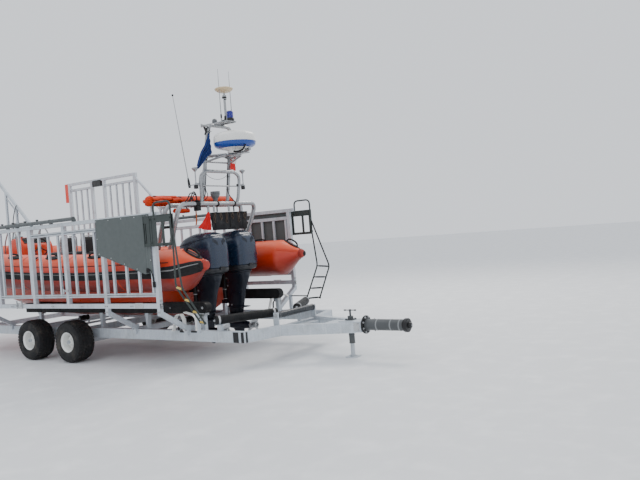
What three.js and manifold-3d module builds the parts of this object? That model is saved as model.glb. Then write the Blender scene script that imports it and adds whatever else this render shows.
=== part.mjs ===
// Inshore rescue boat with twin outboards, standing on its launching carriage.
// Millimetres, +X to the bow, +Y to port, +Z up.
// The tables below are laid out from the carriage's stern corner post (x = 0), the centreline
// (y = 0) and the top of the guard fence's bottom rail (z = 0). keep() moves each piece so that
// the origin lies on the floor, in the middle of the whole length.
import * as THREE from 'three';
import Module from 'manifold-3d';
import { mergeVertices } from 'three/addons/utils/BufferGeometryUtils.js';

const wasm = await Module();
wasm.setup();

// Main sizes
const floorZ = -950;
const hitchTipX = -2950;
const clear = 0.3;

// Boat
const tubeR = 300;
const tubeY = 1125;
const tubeZ = 420;
const coneBaseX = -100;
const coneTipX = -440;
const transomX = 720;
const transomTopZ = 200;
const deckZ = 300;
const collarNose = { x: 7580, y: 0, z: 800, r: 270 };
const collarSides = 16;
const strakeHalf = 62;
const strakeThick = 22;
const flatOf = Math.cos(Math.PI / collarSides);
const bowTipX = collarNose.x + collarNose.r * flatOf + clear + strakeThick;

// Engines
const engineY = 333;
const engineX = 100;
const tiltX = 700;
const tiltZ = 262;
const steerX = 570;
const shaftZ = -590;

// Carriage
const fenceY = 1535;
const fenceTopZ = 1248;
const fenceEndX = 6200;
const tallTopZ = 2330;
const railFootZ = -67;
const beamY = 1020;
const beamTopZ = -450;
const beamBottomZ = -600;
const tyreR = 330;
const tyreWidth = 310;
const tyreY = 1310;
const axleXs = [2350, 3400];

// Paint
const paint = {
  galv: [0xb9bfc4, 0.5, 0.5],
  orange: [0xe8441c, 0.55, 0.0],
  black: [0x17181a, 0.7, 0.0],
  navy: [0x14233c, 0.3, 0.1],
  grey: [0x6d7476, 0.6, 0.2],
  white: [0xf0f0ec, 0.4, 0.0],
  alloy: [0xb4b6b8, 0.35, 0.8],
  glass: [0xb8ccd4, 0.1, 0.0],
  rubber: [0x1b1b1c, 0.9, 0.0],
};

function solid(geometry) {
  const loose = geometry.index ? geometry.toNonIndexed() : geometry;
  const bare = new THREE.BufferGeometry();
  bare.setAttribute('position', loose.getAttribute('position'));
  const merged = mergeVertices(bare, 1e-3);
  const index = merged.index.array;
  const kept = [];
  for (let i = 0; i < index.length; i += 3) {
    const [a, b, c] = [index[i], index[i + 1], index[i + 2]];
    if (a !== b && b !== c && c !== a) kept.push(a, b, c);
  }
  const mesh = new wasm.Mesh({
    numProp: 3,
    vertProperties: new Float32Array(merged.attributes.position.array),
    triVerts: new Uint32Array(kept),
  });
  return new wasm.Manifold(mesh);
}

function join(parts) {
  let whole = parts[0];
  for (let i = 1; i < parts.length; i += 1) whole = whole.add(parts[i]);
  return whole;
}

function block(x0, x1, y0, y1, z0, z1) {
  const box = new THREE.BoxGeometry(Math.abs(x1 - x0), Math.abs(y1 - y0), Math.abs(z1 - z0));
  box.translate((x0 + x1) / 2, (y0 + y1) / 2, (z0 + z1) / 2);
  return solid(box);
}

// A block between two heights or stations that may be mirrored: y is given as a pair for port
function sided(side, x0, x1, y0, y1, z0, z1) {
  return block(x0, x1, side * y0, side * y1, z0, z1);
}

function basisFor(p, q, up) {
  const from = new THREE.Vector3(...p);
  const to = new THREE.Vector3(...q);
  const along = to.clone().sub(from);
  const length = along.length();
  along.normalize();
  const lift = new THREE.Vector3(...up);
  if (Math.abs(lift.dot(along)) > 0.98) lift.set(1, 0, 0);
  const across = new THREE.Vector3().crossVectors(lift, along).normalize();
  const top = new THREE.Vector3().crossVectors(along, across).normalize();
  const middle = from.clone().add(to).multiplyScalar(0.5);
  const basis = new THREE.Matrix4().makeBasis(across, top, along).setPosition(middle);
  return { basis, length };
}

// Square bar from p to q: width across, height along up
function bar(p, q, width, height, up = [0, 0, 1]) {
  const { basis, length } = basisFor(p, q, up);
  const box = new THREE.BoxGeometry(width, height, length);
  box.applyMatrix4(basis);
  return solid(box);
}

function rod(p, q, radius, sides = 10, endRadius = radius) {
  const { basis, length } = basisFor(p, q, [0, 0, 1]);
  const round = new THREE.CylinderGeometry(endRadius, radius, length, sides);
  round.rotateX(Math.PI / 2);
  round.applyMatrix4(basis);
  return solid(round);
}

// Curve that visits each listed point in turn, so bends get as many steps as they are given
class Route extends THREE.Curve {
  constructor(points) {
    super();
    this.points = points.map((p) => new THREE.Vector3(...p));
  }

  getPoint(t) {
    const last = this.points.length - 1;
    const at = Math.min(Math.max(t, 0), 1) * last;
    const low = Math.min(Math.floor(at), last - 1);
    return this.points[low].clone().lerp(this.points[low + 1], at - low);
  }

  getPointAt(u) {
    return this.getPoint(u);
  }

  getTangentAt(u) {
    const last = this.points.length - 1;
    const at = Math.round(u * last);
    const before = this.points[Math.max(at - 1, 0)];
    const after = this.points[Math.min(at + 1, last)];
    return after.clone().sub(before).normalize();
  }
}

// Corner points replaced by short arcs
function rounded(points, radius, steps = 3) {
  const out = [points[0]];
  for (let i = 1; i < points.length - 1; i += 1) {
    const at = new THREE.Vector3(...points[i]);
    const back = new THREE.Vector3(...points[i - 1]).sub(at);
    const fore = new THREE.Vector3(...points[i + 1]).sub(at);
    const reach = Math.min(radius, back.length() * 0.45, fore.length() * 0.45);
    const start = at.clone().add(back.normalize().multiplyScalar(reach));
    const end = at.clone().add(fore.normalize().multiplyScalar(reach));
    for (let k = 0; k <= steps; k += 1) {
      const t = k / steps;
      const a = start.clone().lerp(at, t);
      const b = at.clone().lerp(end, t);
      out.push(a.lerp(b, t).toArray());
    }
  }
  out.push(points[points.length - 1]);
  return out;
}

function pipe(points, radius, sides = 8, bend = 60, steps = 3) {
  const path = points.length > 2 ? rounded(points, bend, steps) : points;
  const ring = new THREE.Shape();
  ring.absarc(0, 0, radius, 0, Math.PI * 2, false);
  const tube = new THREE.ExtrudeGeometry(ring, {
    steps: path.length - 1,
    curveSegments: sides / 2,
    extrudePath: new Route(path),
    bevelEnabled: false,
  });
  return solid(tube);
}

// Skin over a row of rings, each with the same number of points, closed at both ends
function loft(rings) {
  const count = rings[0].length;
  const verts = [];
  for (const ring of rings) for (const p of ring) verts.push(...p);
  const first = new THREE.Vector3();
  const final = new THREE.Vector3();
  for (const p of rings[0]) first.add(new THREE.Vector3(...p));
  for (const p of rings[rings.length - 1]) final.add(new THREE.Vector3(...p));
  verts.push(...first.multiplyScalar(1 / count).toArray());
  verts.push(...final.multiplyScalar(1 / count).toArray());
  const firstAt = rings.length * count;
  const finalAt = firstAt + 1;
  const faces = [];
  for (let r = 0; r < rings.length - 1; r += 1) {
    for (let i = 0; i < count; i += 1) {
      const j = (i + 1) % count;
      const a = r * count + i;
      const b = r * count + j;
      const c = a + count;
      const d = b + count;
      faces.push(a, b, d, a, d, c);
    }
  }
  const topRow = (rings.length - 1) * count;
  for (let i = 0; i < count; i += 1) {
    const j = (i + 1) % count;
    faces.push(firstAt, j, i);
    faces.push(finalAt, topRow + i, topRow + j);
  }
  let volume = 0;
  const at = (k) => new THREE.Vector3(verts[3 * k], verts[3 * k + 1], verts[3 * k + 2]);
  for (let i = 0; i < faces.length; i += 3) {
    volume += at(faces[i]).dot(at(faces[i + 1]).cross(at(faces[i + 2])));
  }
  if (volume < 0) {
    for (let i = 0; i < faces.length; i += 3) [faces[i], faces[i + 1]] = [faces[i + 1], faces[i]];
  }
  const skin = new THREE.BufferGeometry();
  skin.setAttribute('position', new THREE.Float32BufferAttribute(verts, 3));
  skin.setIndex(faces);
  return solid(skin);
}

// Flat plate: outline in X and Z, thickness along Y from y0 to y1
function plateXZ(outline, y0, y1) {
  const shape = new THREE.Shape(outline.map(([x, z]) => new THREE.Vector2(x, z)));
  const plate = new THREE.ExtrudeGeometry(shape, { depth: Math.abs(y1 - y0), bevelEnabled: false });
  plate.rotateX(Math.PI / 2);
  plate.translate(0, Math.max(y0, y1), 0);
  return solid(plate);
}

// Flat plate: outline in X and Y, thickness along Z from z0 to z1
function plateXY(outline, z0, z1) {
  const shape = new THREE.Shape(outline.map(([x, y]) => new THREE.Vector2(x, y)));
  const plate = new THREE.ExtrudeGeometry(shape, { depth: z1 - z0, bevelEnabled: false });
  plate.translate(0, 0, z0);
  return solid(plate);
}

// Turned shape: profile of radius and height, about an axis through centre along dir
function turned(profile, centre, dir, sides) {
  const points = profile.map(([r, h]) => new THREE.Vector2(r, h));
  const body = new THREE.LatheGeometry(points, sides);
  const turn = new THREE.Quaternion();
  turn.setFromUnitVectors(new THREE.Vector3(0, 1, 0), new THREE.Vector3(...dir).normalize());
  body.applyQuaternion(turn);
  body.translate(...centre);
  return solid(body);
}

function roundRect(xAft, xFore, halfWidth, corner, z, yMid, steps = 3) {
  const pts = [];
  const cx = [xFore - corner, xAft + corner, xAft + corner, xFore - corner];
  const cy = [halfWidth - corner, halfWidth - corner, corner - halfWidth, corner - halfWidth];
  for (let q = 0; q < 4; q += 1) {
    for (let k = 0; k <= steps; k += 1) {
      const a = (q + k / steps) * (Math.PI / 2);
      pts.push([cx[q] + corner * Math.cos(a), yMid + cy[q] + corner * Math.sin(a), z]);
    }
  }
  return pts;
}

const group = new THREE.Group();
const placed = [];

function keep(name, manifold, look) {
  const out = manifold.getMesh();
  const skin = new THREE.BufferGeometry();
  skin.setAttribute('position', new THREE.BufferAttribute(Float32Array.from(out.vertProperties), 3));
  skin.setIndex(Array.from(out.triVerts));
  skin.translate(-(hitchTipX + bowTipX) / 2, 0, -floorZ);
  skin.computeVertexNormals();
  const [color, roughness, metalness] = paint[look];
  const mesh = new THREE.Mesh(skin, new THREE.MeshStandardMaterial({ color, roughness, metalness }));
  mesh.name = name;
  placed.push(mesh);
  group.add(mesh);
}

const sides = [['port', 1], ['stbd', -1]];

// Inflatable collar: one tube from stern cone to stern cone, round the bow
// x, y, z of the tube's middle and its radius, port side, stern to bow
const collarRun = [
  { x: coneTipX, y: tubeY, z: 478, r: 62 },
  { x: coneBaseX, y: tubeY, z: tubeZ, r: tubeR },
  { x: 2000, y: tubeY, z: 430, r: tubeR },
  { x: 3400, y: tubeY, z: 480, r: tubeR },
  { x: 4700, y: 1122, z: 560, r: tubeR },
  { x: 5500, y: 1078, z: 622, r: 297 },
  { x: 6150, y: 958, z: 680, r: 290 },
  { x: 6700, y: 752, z: 730, r: 283 },
  { x: 7120, y: 505, z: 768, r: 277 },
  { x: 7400, y: 250, z: 792, r: 272 },
];

function collarLine() {
  const port = collarRun.map((s) => ({ ...s }));
  const stbd = collarRun.map((s) => ({ ...s, y: -s.y })).reverse();
  return [...port, collarNose, ...stbd];
}

function collarRings(grow) {
  const line = collarLine();
  return line.map((s, i) => {
    const before = line[Math.max(i - 1, 0)];
    const after = line[Math.min(i + 1, line.length - 1)];
    const run = new THREE.Vector3(after.x - before.x, after.y - before.y, 0);
    if (i <= 1) run.set(1, 0, 0);
    if (i >= line.length - 2) run.set(-1, 0, 0);
    run.normalize();
    const out = new THREE.Vector3(run.y, -run.x, 0);
    const ring = [];
    for (let k = 0; k < collarSides; k += 1) {
      const a = (k / collarSides) * Math.PI * 2 + Math.PI / collarSides;
      const r = s.r + grow;
      const reach = r * Math.cos(a);
      ring.push([s.x + out.x * reach, s.y + out.y * reach, s.z + r * Math.sin(a)]);
    }
    return ring;
  });
}

const collar = loft(collarRings(0));

// Hull: deep vee, flat deck; keel, chine and deck heights by station
const hullRun = [
  { x: transomX, keel: -400, chineY: 900, chineZ: -60 },
  { x: 2600, keel: -400, chineY: 900, chineZ: -60 },
  { x: 4000, keel: -390, chineY: 890, chineZ: -30 },
  { x: 5000, keel: -330, chineY: 815, chineZ: 50 },
  { x: 5800, keel: -200, chineY: 670, chineZ: 180 },
  { x: 6500, keel: 0, chineY: 450, chineZ: 330 },
  { x: 7000, keel: 230, chineY: 240, chineZ: 460 },
  { x: 7330, keel: 480, chineY: 60, chineZ: 570 },
];

function tubeAt(x) {
  const line = collarRun;
  for (let i = 0; i < line.length - 1; i += 1) {
    if (x >= line[i].x && x <= line[i + 1].x) {
      const t = (x - line[i].x) / (line[i + 1].x - line[i].x);
      return {
        y: line[i].y + t * (line[i + 1].y - line[i].y),
        z: line[i].z + t * (line[i + 1].z - line[i].z),
      };
    }
  }
  return { y: 0, z: 800 };
}

// The deck is level aft and climbs in one plane from x = 2600 to the bow
const deckAt = (x) => deckZ + Math.max(x - 2600, 0) / 15;
const hullRingsAt = (lift, drop = 0) => hullRun.map((s) => {
  const tube = tubeAt(s.x);
  const edge = Math.max(tube.y - 90, 40);
  const deck = deckAt(s.x);
  const sideZ = Math.min(deck - 20, Math.max(tube.z - 170, s.chineZ + 20));
  const top = deck + lift;
  return [
    [s.x, 0, s.keel - drop], [s.x, s.chineY, s.chineZ - drop], [s.x, edge, sideZ],
    [s.x, edge, top], [s.x, 0, top], [s.x, -edge, top], [s.x, -edge, sideZ],
    [s.x, -s.chineY, s.chineZ - drop],
  ];
});
const hullRings = hullRingsAt(0);
// The same hull with its deck a hair higher, to trim what stands on the deck
const underDeck = loft(hullRingsAt(clear));
// and with its bottom a hair lower, to trim the bunks that carry it
const underHull = loft(hullRingsAt(0, clear));
let hull = loft(hullRings).subtract(loft(collarRings(clear)));
// Engine well: cut down behind the transom
hull = hull.subtract(block(600, 1180, -640, 640, transomTopZ, 700));
hull = hull.subtract(block(transomX + 70, 1180, -640, 640, 40, transomTopZ + 1));
keep('hull', hull, 'orange');
keep('collar', collar, 'orange');

// Rubbing strake: a flat black band round the outside of the collar, with round stern caps
function strakeRings() {
  const line = collarLine();
  return line.map((s, i) => {
    const before = line[Math.max(i - 1, 0)];
    const after = line[Math.min(i + 1, line.length - 1)];
    const run = new THREE.Vector3(after.x - before.x, after.y - before.y, 0);
    if (i <= 1) run.set(1, 0, 0);
    if (i >= line.length - 2) run.set(-1, 0, 0);
    run.normalize();
    const out = new THREE.Vector3(-run.y, run.x, 0);
    const end = i === 0 || i === line.length - 1;
    const z = end ? s.z : s.z - 28;
    const half = end ? 45 : strakeHalf;
    // The collar's outermost facet is flat and upright, and the band lies against it
    const near = s.r * flatOf + clear;
    const far = near + strakeThick;
    const x = end ? s.x - 20 : s.x;
    const at = (reach, height) => [x + out.x * reach, s.y + out.y * reach, z + height];
    return [at(near, -half), at(far, -half * 0.6), at(far, half * 0.6), at(near, half)];
  });
}
const capSolids = sides.map(([, side]) => rod(
  [coneTipX - clear, side * tubeY, 470], [coneTipX - 62, side * tubeY, 470], 92, 16, 66));
keep('strake', join([loft(strakeRings()), ...capSolids]), 'black');

// Roll-over arch: two hoops, joined on top, that carry mast and bags
const archR = 32;
const archTopZ = 1368;
const bagSeatZ = 1377;
const bagTopZ = 1240;
const archFootY = 775;
const archSideY = 860;
function hoop(xFoot, xTop, topZ, radius) {
  const half = [
    [xFoot, archFootY, deckZ + 5],
    [xTop + (xFoot - xTop) * 0.25, archSideY, topZ - 320],
    [xTop, archSideY, topZ],
  ];
  const other = half.map(([x, y, z]) => [x, -y, z]).reverse();
  return pipe([...half, ...other], radius, 8, 140, 4);
}
function archSolid(grow) {
  const parts = [hoop(760, 230, archTopZ, archR + grow), hoop(1000, 520, archTopZ, archR + grow)];
  for (const y of [-560, -290, 290, 560]) {
    parts.push(rod([230, y, archTopZ], [520, y, archTopZ], 20 + grow, 8));
  }
  parts.push(rod([230, 0, archTopZ - 20], [520, 0, archTopZ - 20], 20 + grow, 8));
  parts.push(block(240, 360, -50 - grow, 50 + grow, archTopZ - 12, archTopZ + 8 + grow));
  for (const y of [-600, 0, 600]) {
    parts.push(bar([520, y, bagSeatZ - 8], [900, y, bagSeatZ - 8], 40 + 2 * grow, 16 + 2 * grow));
  }
  for (const y of [-500, -200, 140, 265]) parts.push(block(224, 238, y - 22, y + 22, bagTopZ + clear, 1350));
  for (const [, side] of sides) {
    parts.push(rod([362, side * 850, 1048], [640, side * 850, 1048], 18 + grow, 8));
  }
  return join(parts);
}
keep('arch', archSolid(0).subtract(underDeck), 'alloy');

// Righting bag across the top of the arch, stowage net bag under it
const bagX = 750;
const bagHalfX = 122;
const bagHalfZ = 80;
const bagSides = 12;
// y of each section and its share of the full size
const bagRun = [[-820, 0.8], [-770, 1], [-330, 1], [330, 1], [970, 1], [1020, 0.8]];
const bagMiddleZ = bagSeatZ + clear + bagHalfZ * Math.cos(Math.PI / bagSides);
const bagRings = bagRun.map(([y, share]) => {
  const ring = [];
  for (let k = 0; k < bagSides; k += 1) {
    const a = ((k + 0.5) / bagSides) * Math.PI * 2;
    ring.push([bagX + bagHalfX * share * Math.cos(a), y, bagMiddleZ + bagHalfZ * share * Math.sin(a)]);
  }
  return ring;
});
keep('righting_bag', loft(bagRings), 'orange');
keep('net_bag', block(205, 265, -640, 230, 950, bagTopZ), 'black');

// Mast: two leaning posts on the arch, a bowed frame of tube round them, platform and radar bracket
const platformZ = 2590;
const post = (y) => rod([336, y, archTopZ], [103, y * 0.87, platformZ + 8], 24, 12);
const halfFrame = [[232, 408, archTopZ], [205, 412, 1450], [180, 440, 1720], [168, 425, 1800],
  [166, 330, 1862]];
const frameLine = [...halfFrame, ...halfFrame.map(([x, y, z]) => [x, -y, z]).reverse()];
const mastParts = [
  post(290), post(-290),
  pipe(frameLine, 21, 8, 70, 2),
  rod([192, 424, 1640], [192, -424, 1640], 10, 8),
  rod([215, 277, 2010], [215, -277, 2010], 13, 8),
  block(-400, 190, -70, 70, 2085, 2105),
  bar([168, 265, 2096], [168, -265, 2096], 34, 24),
  rod([150, 60, 1990], [-120, 60, 2090], 11, 8),
  rod([150, -60, 1990], [-120, -60, 2090], 11, 8),
  rod([215, 60, 2010], [150, 60, 1990], 11, 8),
  rod([215, -60, 2010], [150, -60, 1990], 11, 8),
  bar([103, 262, 2580], [103, -262, 2580], 40, 20),
  block(-150, 340, -105, 105, platformZ, platformZ + 20),
  bar([-56, 130, platformZ + 10], [-56, -130, platformZ + 10], 26, 18),
  block(70, 130, 225, 285, 2452, 2462),
  rod([108, 226, 2457], [121, 226, 2457], 12, 8),
  turned([[0, 2600], [19, 2600], [19, 2955], [34, 2965], [34, 2983], [15, 2991], [15, 3025], [0, 3025]],
    [-40, 0, 0], [0, 0, 1], 12),
  turned([[0, 3021], [60, 3027], [122, 3055], [138, 3075], [138, 3091], [90, 3109], [0, 3115]],
    [-40, 0, 0], [0, 0, 1], 20),
];
// Aerials: whips beside the dish, mushroom aerials on brackets, a long whip, a searchlight
const mushroom = [[0, 1640], [9, 1640], [9, 1840], [24, 1860], [48, 1890], [48, 1902], [24, 1914], [0, 1917]];
for (const [, side] of sides) {
  mastParts.push(
    rod([-56, side * 122, 2605], [-56, side * 122, 3400], 8, 8, 4),
    turned(mushroom, [180, side * 536, 0], [0, 0, 1], 12),
    bar([192, side * 420, 1655], [180, side * 560, 1655], 40, 34),
    rod([166, side * 262, 1862], [246, side * 276, 1862], 14, 8),
  );
}
mastParts.push(
  bar([180, 550, 1655], [180, 690, 1630], 34, 26),
  rod([180, 672, 1600], [180, 688, 1730], 16, 8),
  rod([180, 686, 1720], [180, 868, 2945], 7, 6, 4),
  turned([[0, 2935], [13, 2941], [13, 2957], [0, 2963]], [180, 868, 0], [0, 0, 1], 8),
  rod([-135, 90, 2605], [-135, 90, 2930], 5, 6),
  turned([[0, 2600], [42, 2604], [42, 2660], [26, 2690], [0, 2694]], [200, 0, 0], [0, 0, 1], 12),
);
keep('mast', join(mastParts).subtract(archSolid(clear)), 'alloy');
const searchlightFootZ = archTopZ + 8 + clear;
keep('searchlight', turned([[0, searchlightFootZ], [40, searchlightFootZ], [40, 1392], [30, 1400], [34, 1450],
  [72, 1500], [76, 1560], [62, 1566], [0, 1560]], [312, 0, 0], [0, 0, 1], 16), 'black');

// Plates across X, outline in Y and Z: the ensign at the mast and the red flag at the arch
function plateYZ(outline, x0, x1) {
  const shape = new THREE.Shape(outline.map(([y, z]) => new THREE.Vector2(y, z)));
  const plate = new THREE.ExtrudeGeometry(shape, { depth: x1 - x0, bevelEnabled: false });
  plate.rotateX(Math.PI / 2);
  plate.rotateZ(Math.PI / 2);
  plate.translate(x0, 0, 0);
  return solid(plate);
}
keep('flag_blue', plateYZ([[285, 2452 - clear], [262, 2452 - clear], [236, 2125], [290, 2090], [420, 1990],
  [556, 1870], [570, 1930], [470, 2130], [360, 2270]], 84, 94), 'navy');
keep('flag_red', plateYZ([[290, 1240], [240, 1240], [236, 952], [508, 952], [512, 1000], [400, 1090],
  [310, 1196]], 228, 236), 'orange');

// Radar dome, lamps, aerials
const radarX = -180;
keep('radar', turned([[0, 2105.3], [110, 2105.3], [120, 2150], [300, 2200], [322, 2260], [322, 2330],
  [270, 2400], [150, 2436], [0, 2445]], [radarX, 0, 0], [0, 0, 1], 20), 'white');
keep('beacon', turned([[0, 2610.3], [62, 2610.3], [62, 2645], [52, 2655], [52, 2748], [40, 2760], [0, 2763]],
  [-125, 0, 0], [0, 0, 1], 16), 'navy');

// Helm console, screen, wheel; seat pod with straddle seats; bow locker
const consoleDeck = 372;
keep('console', join([
  plateXZ([[5180, consoleDeck], [5880, consoleDeck + 40], [5760, 960], [5600, 1120], [5330, 1160],
    [5180, 1000]], -330, 330),
]).subtract(underDeck), 'orange');
keep('screen', plateXZ([[5540, 1129.4], [5590, 1122.0], [5490, 1420], [5465, 1420]], -300, 300), 'glass');
const podRun = [
  { x: 2200, half: 190, top: 640 },
  { x: 4750, half: 190, top: 700 },
];
keep('seat_pod', loft(podRun.map((s) => [
  [s.x, s.half, 270], [s.x, s.half * 0.8, s.top], [s.x, -s.half * 0.8, s.top], [s.x, -s.half, 270],
])).subtract(underDeck), 'grey');
const seatXs = [2250, 2880, 3510, 4140];
const padTop = (x) => 640 + ((x - 2200) / 2550) * 60;
const seatParts = [plateXZ([[2210, padTop(2210) + 0.5], [4740, padTop(4740) + 0.5],
  [4740, padTop(4740) + 60], [2210, padTop(2210) + 60]], -140, 140)];
for (const x of seatXs) {
  const base = padTop(x) + 40;
  seatParts.push(block(x + 110, x + 520, -165, 165, base, base + 80));
  seatParts.push(block(x + 20, x + 110, -165, 165, base, base + 340));
}
keep('seats', join(seatParts), 'black');
keep('bow_locker', block(6050, 6600, -240, 240, 440, 680).subtract(underDeck), 'grey');

// Helm wheel on the console's aft face
const helmAt = [5180, 0, 930];
const helmR = 170;
const helmSteps = 16;
const spokes = [0, 120, 240].map((deg) => {
  const a = (deg * Math.PI) / 180;
  return rod([helmAt[0] - 60, 0, helmAt[2]],
    [helmAt[0] - 70, helmR * Math.sin(a), helmAt[2] + helmR * Math.cos(a)], 9, 6);
});
const helmRim = turned([[helmR + 13, 0], [helmR + 6, 11], [helmR - 6, 11], [helmR - 13, 0],
  [helmR - 6, -11], [helmR + 6, -11], [helmR + 13, 0]],
[helmAt[0] - 70, 0, helmAt[2]], [1, 0, 0], helmSteps);
keep('helm_wheel', join([helmRim, ...spokes,
  rod([helmAt[0] - 75, 0, helmAt[2]], [helmAt[0] - clear, 0, helmAt[2]], 28, 12)]), 'black');

// Outboards
for (const [name, side] of sides) {
  const y = side * engineY;
  const cheek = (off) => join([
    block(tiltX - 34, transomX - clear, y + off - 11, y + off + 11, 20, 262),
    block(tiltX - 34, tiltX + 112, y + off - 11, y + off + 11, transomTopZ + clear, 236),
    block(transomX + 70 + clear, tiltX + 112, y + off - 11, y + off + 11, 60, 236),
    rod([tiltX, y + off - 11, tiltZ], [tiltX, y + off + 11, tiltZ], 28, 16),
  ]);
  keep(`clamp_${name}`, join([cheek(121), cheek(-121),
    block(transomX + 70 + clear, tiltX + 106, y - 125, y + 125, 80, 200)]), 'black');
  keep(`swivel_${name}`, join([
    rod([tiltX, y - 109.6, tiltZ], [tiltX, y + 109.6, tiltZ], 24, 16),
    rod([steerX, y, -180], [steerX, y, 258], 42, 16),
    block(steerX, tiltX - 15, y - 34, y + 34, 20, 262),
  ]), 'black');
  const ex = (x) => x + engineX;
  const flat = (points) => points.map(([x, z]) => [ex(x), z]);
  const leg = join([
    plateXZ(flat([[-50, 262], [-52, 210], [30, 0], [85, -240], [125, -380], [135, -560], [115, -640],
      [140, -770], [190, -770], [330, -690], [380, -560], [400, -380], [415, -250], [415, 262]]),
    y - 62, y + 62),
    block(ex(410), ex(540), y - 50, y + 50, 262, 299.7),
    plateXY([[ex(-60), y - 70], [ex(-60), y + 70], [ex(300), y + 150], [ex(420), y + 120], [ex(420), y - 120],
      [ex(300), y - 150]], 266, 299.7),
    block(ex(405), ex(530), y - 50, y + 50, -240, -181),
    plateXY([[-110, -60], [-110, 60], [60, 140], [300, 120], [430, 30], [430, -30], [300, -120],
      [60, -140]].map(([x, dy]) => [ex(x), y + dy]), -412, -396),
    plateXY([[0, -60], [0, 60], [120, 105], [330, 90], [420, 30], [420, -30], [330, -90],
      [120, -105]].map(([x, dy]) => [ex(x), y + dy]), -300, -290),
    turned([[0, 0], [40, 20], [62, 90], [62, 470], [50, 510], [0, 510]],
      [ex(490), y, shaftZ], [-1, 0, 0], 14),
  ]);
  const skegCut = join([
    block(ex(60), ex(480), y + 14, y + 90, -900, -655),
    block(ex(60), ex(480), y - 90, y - 14, -900, -655),
  ]);
  keep(`leg_${name}`, leg.subtract(skegCut), 'black');
  const pan = [
    { z: 300, aft: -76, fore: 555, half: 205 },
    { z: 322, aft: -108, fore: 590, half: 228 },
    { z: 372, aft: -124, fore: 600, half: 236 },
    { z: 384, aft: -118, fore: 594, half: 231 },
    { z: 396, aft: -128, fore: 602, half: 240 },
    { z: 600, aft: -128, fore: 604, half: 243 },
    { z: 740, aft: -116, fore: 575, half: 236 },
    { z: 820, aft: -92, fore: 510, half: 218 },
    { z: 885, aft: -48, fore: 400, half: 182 },
    { z: 922, aft: 24, fore: 270, half: 120 },
    { z: 930, aft: 60, fore: 210, half: 85 },
  ];
  keep(`cowl_${name}`, loft(pan.map((s) => roundRect(ex(s.aft), ex(s.fore), s.half,
    Math.min(110, s.half * 0.6), s.z, y, 4))), 'navy');
  const blades = [0, 120, 240].map((deg) => {
    const blade = new THREE.BoxGeometry(110, 14, 118);
    blade.rotateZ((32 * Math.PI) / 180);
    blade.translate(0, 0, 99);
    blade.rotateX((deg * Math.PI) / 180);
    blade.translate(ex(-85), y, shaftZ);
    return solid(blade);
  });
  keep(`prop_${name}`, join([
    rod([ex(-20.5), y, shaftZ], [ex(-150), y, shaftZ], 52, 16, 42), ...blades,
  ]), 'alloy');
}

// Carriage chassis: side beams, cross members, stern crossbeam, draw frame, outrigger pads
const chassisParts = [];
const beamHalf = 45;
for (const [, side] of sides) {
  chassisParts.push(sided(side, -1010, 6050, beamY - beamHalf, beamY + beamHalf, beamBottomZ, beamTopZ));
  chassisParts.push(bar([-985, side * 1010, -525], [-1150, side * 440, -525], 90, 148));
  chassisParts.push(bar([-1110, side * 470, -525], [-2150, side * 85, -525], 90, 144));
}
const crossXs = [-960, 760, 1700, 2870, 4400, 6005];
const outriggerXs = [57, 1162, 4500, 5300, 6010];
for (const x of crossXs) {
  chassisParts.push(block(x - 45, x + 45, -beamY, beamY, beamBottomZ + 5, -505));
}
chassisParts.push(block(-2250, -1900, -130, 130, -590, -440));
chassisParts.push(block(-1240, -1110, -455, 455, beamBottomZ + 9, -508));
// Cross plate of the draw frame
chassisParts.push(block(-1850, -1650, -215, 215, -590, -470));
// Outriggers that carry the guard fences
for (const x of outriggerXs) {
  for (const [, side] of sides) {
    chassisParts.push(sided(side, x - 30, x + 30, fenceY - 28, fenceY + 28, -170, railFootZ - clear));
    chassisParts.push(bar([x, side * (fenceY - 8), -142], [x, side * 1080, -412], 60, 70, [1, 0, 0]));
    chassisParts.push(sided(side, x - 36, x + 36, beamY, 1100, beamTopZ - 60, -372));
  }
}
const jackX = -2020;
const jackHole = rod([jackX, 0, -700], [jackX, 0, -300], 40.3, 20);

// Axles: square tube across, under the side beams, with turned stubs for the wheels
const wheelZ = floorZ + tyreR;
let axleCount = 0;
for (const x of axleXs) {
  axleCount += 1;
  const parts = [block(x - 45, x + 45, -1110, 1110, wheelZ - 70, beamBottomZ - clear)];
  for (const [, side] of sides) {
    parts.push(rod([x, side * 1100, wheelZ], [x, side * 1440, wheelZ], 30, 16));
    parts.push(sided(side, x - 110, x + 110, 970, 1070, beamBottomZ - 12, beamBottomZ - clear));
  }
  keep(`axle_${axleCount}`, join(parts), 'galv');
  for (const [name, side] of sides) {
    const mid = side * tyreY;
    const halfW = tyreWidth / 2;
    const rimR = 155;
    keep(`tyre_${name}_${axleCount}`, turned([
      [rimR, -halfW + 20], [215, -halfW], [300, -halfW + 18], [tyreR, -halfW + 70],
      [tyreR, halfW - 70], [300, halfW - 18], [215, halfW], [rimR, halfW - 20], [rimR, -halfW + 20],
    ], [x, mid, wheelZ], [0, 1, 0], 24), 'rubber');
    const rim = turned([
      [30.3, -90], [60, -90], [70, -10], [110, -10], [rimR - clear, -halfW + 10],
      [rimR - clear, halfW - 10], [110, 20], [60, 95], [30.3, 95], [30.3, -90],
    ], [x, mid, wheelZ], [0, 1, 0], 24);
    keep(`rim_${name}_${axleCount}`, rim, 'white');
  }
}

// Keel rollers between cross members, on brackets of the chassis
const rollerXs = [1100, 3900];
const rollerZ = -458;
for (const x of rollerXs) {
  for (const [, side] of sides) {
    chassisParts.push(sided(side, x - 22, x + 22, 96, 108, beamBottomZ + 11, rollerZ + 30));
  }
  chassisParts.push(block(x - 25, x + 25, -1015, 1015, beamBottomZ + 8, -555));
}
rollerXs.forEach((x, i) => {
  keep(`keel_roller_${i + 1}`, rod([x, -95.7, rollerZ], [x, 95.7, rollerZ], 50, 16), 'black');
});

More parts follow.
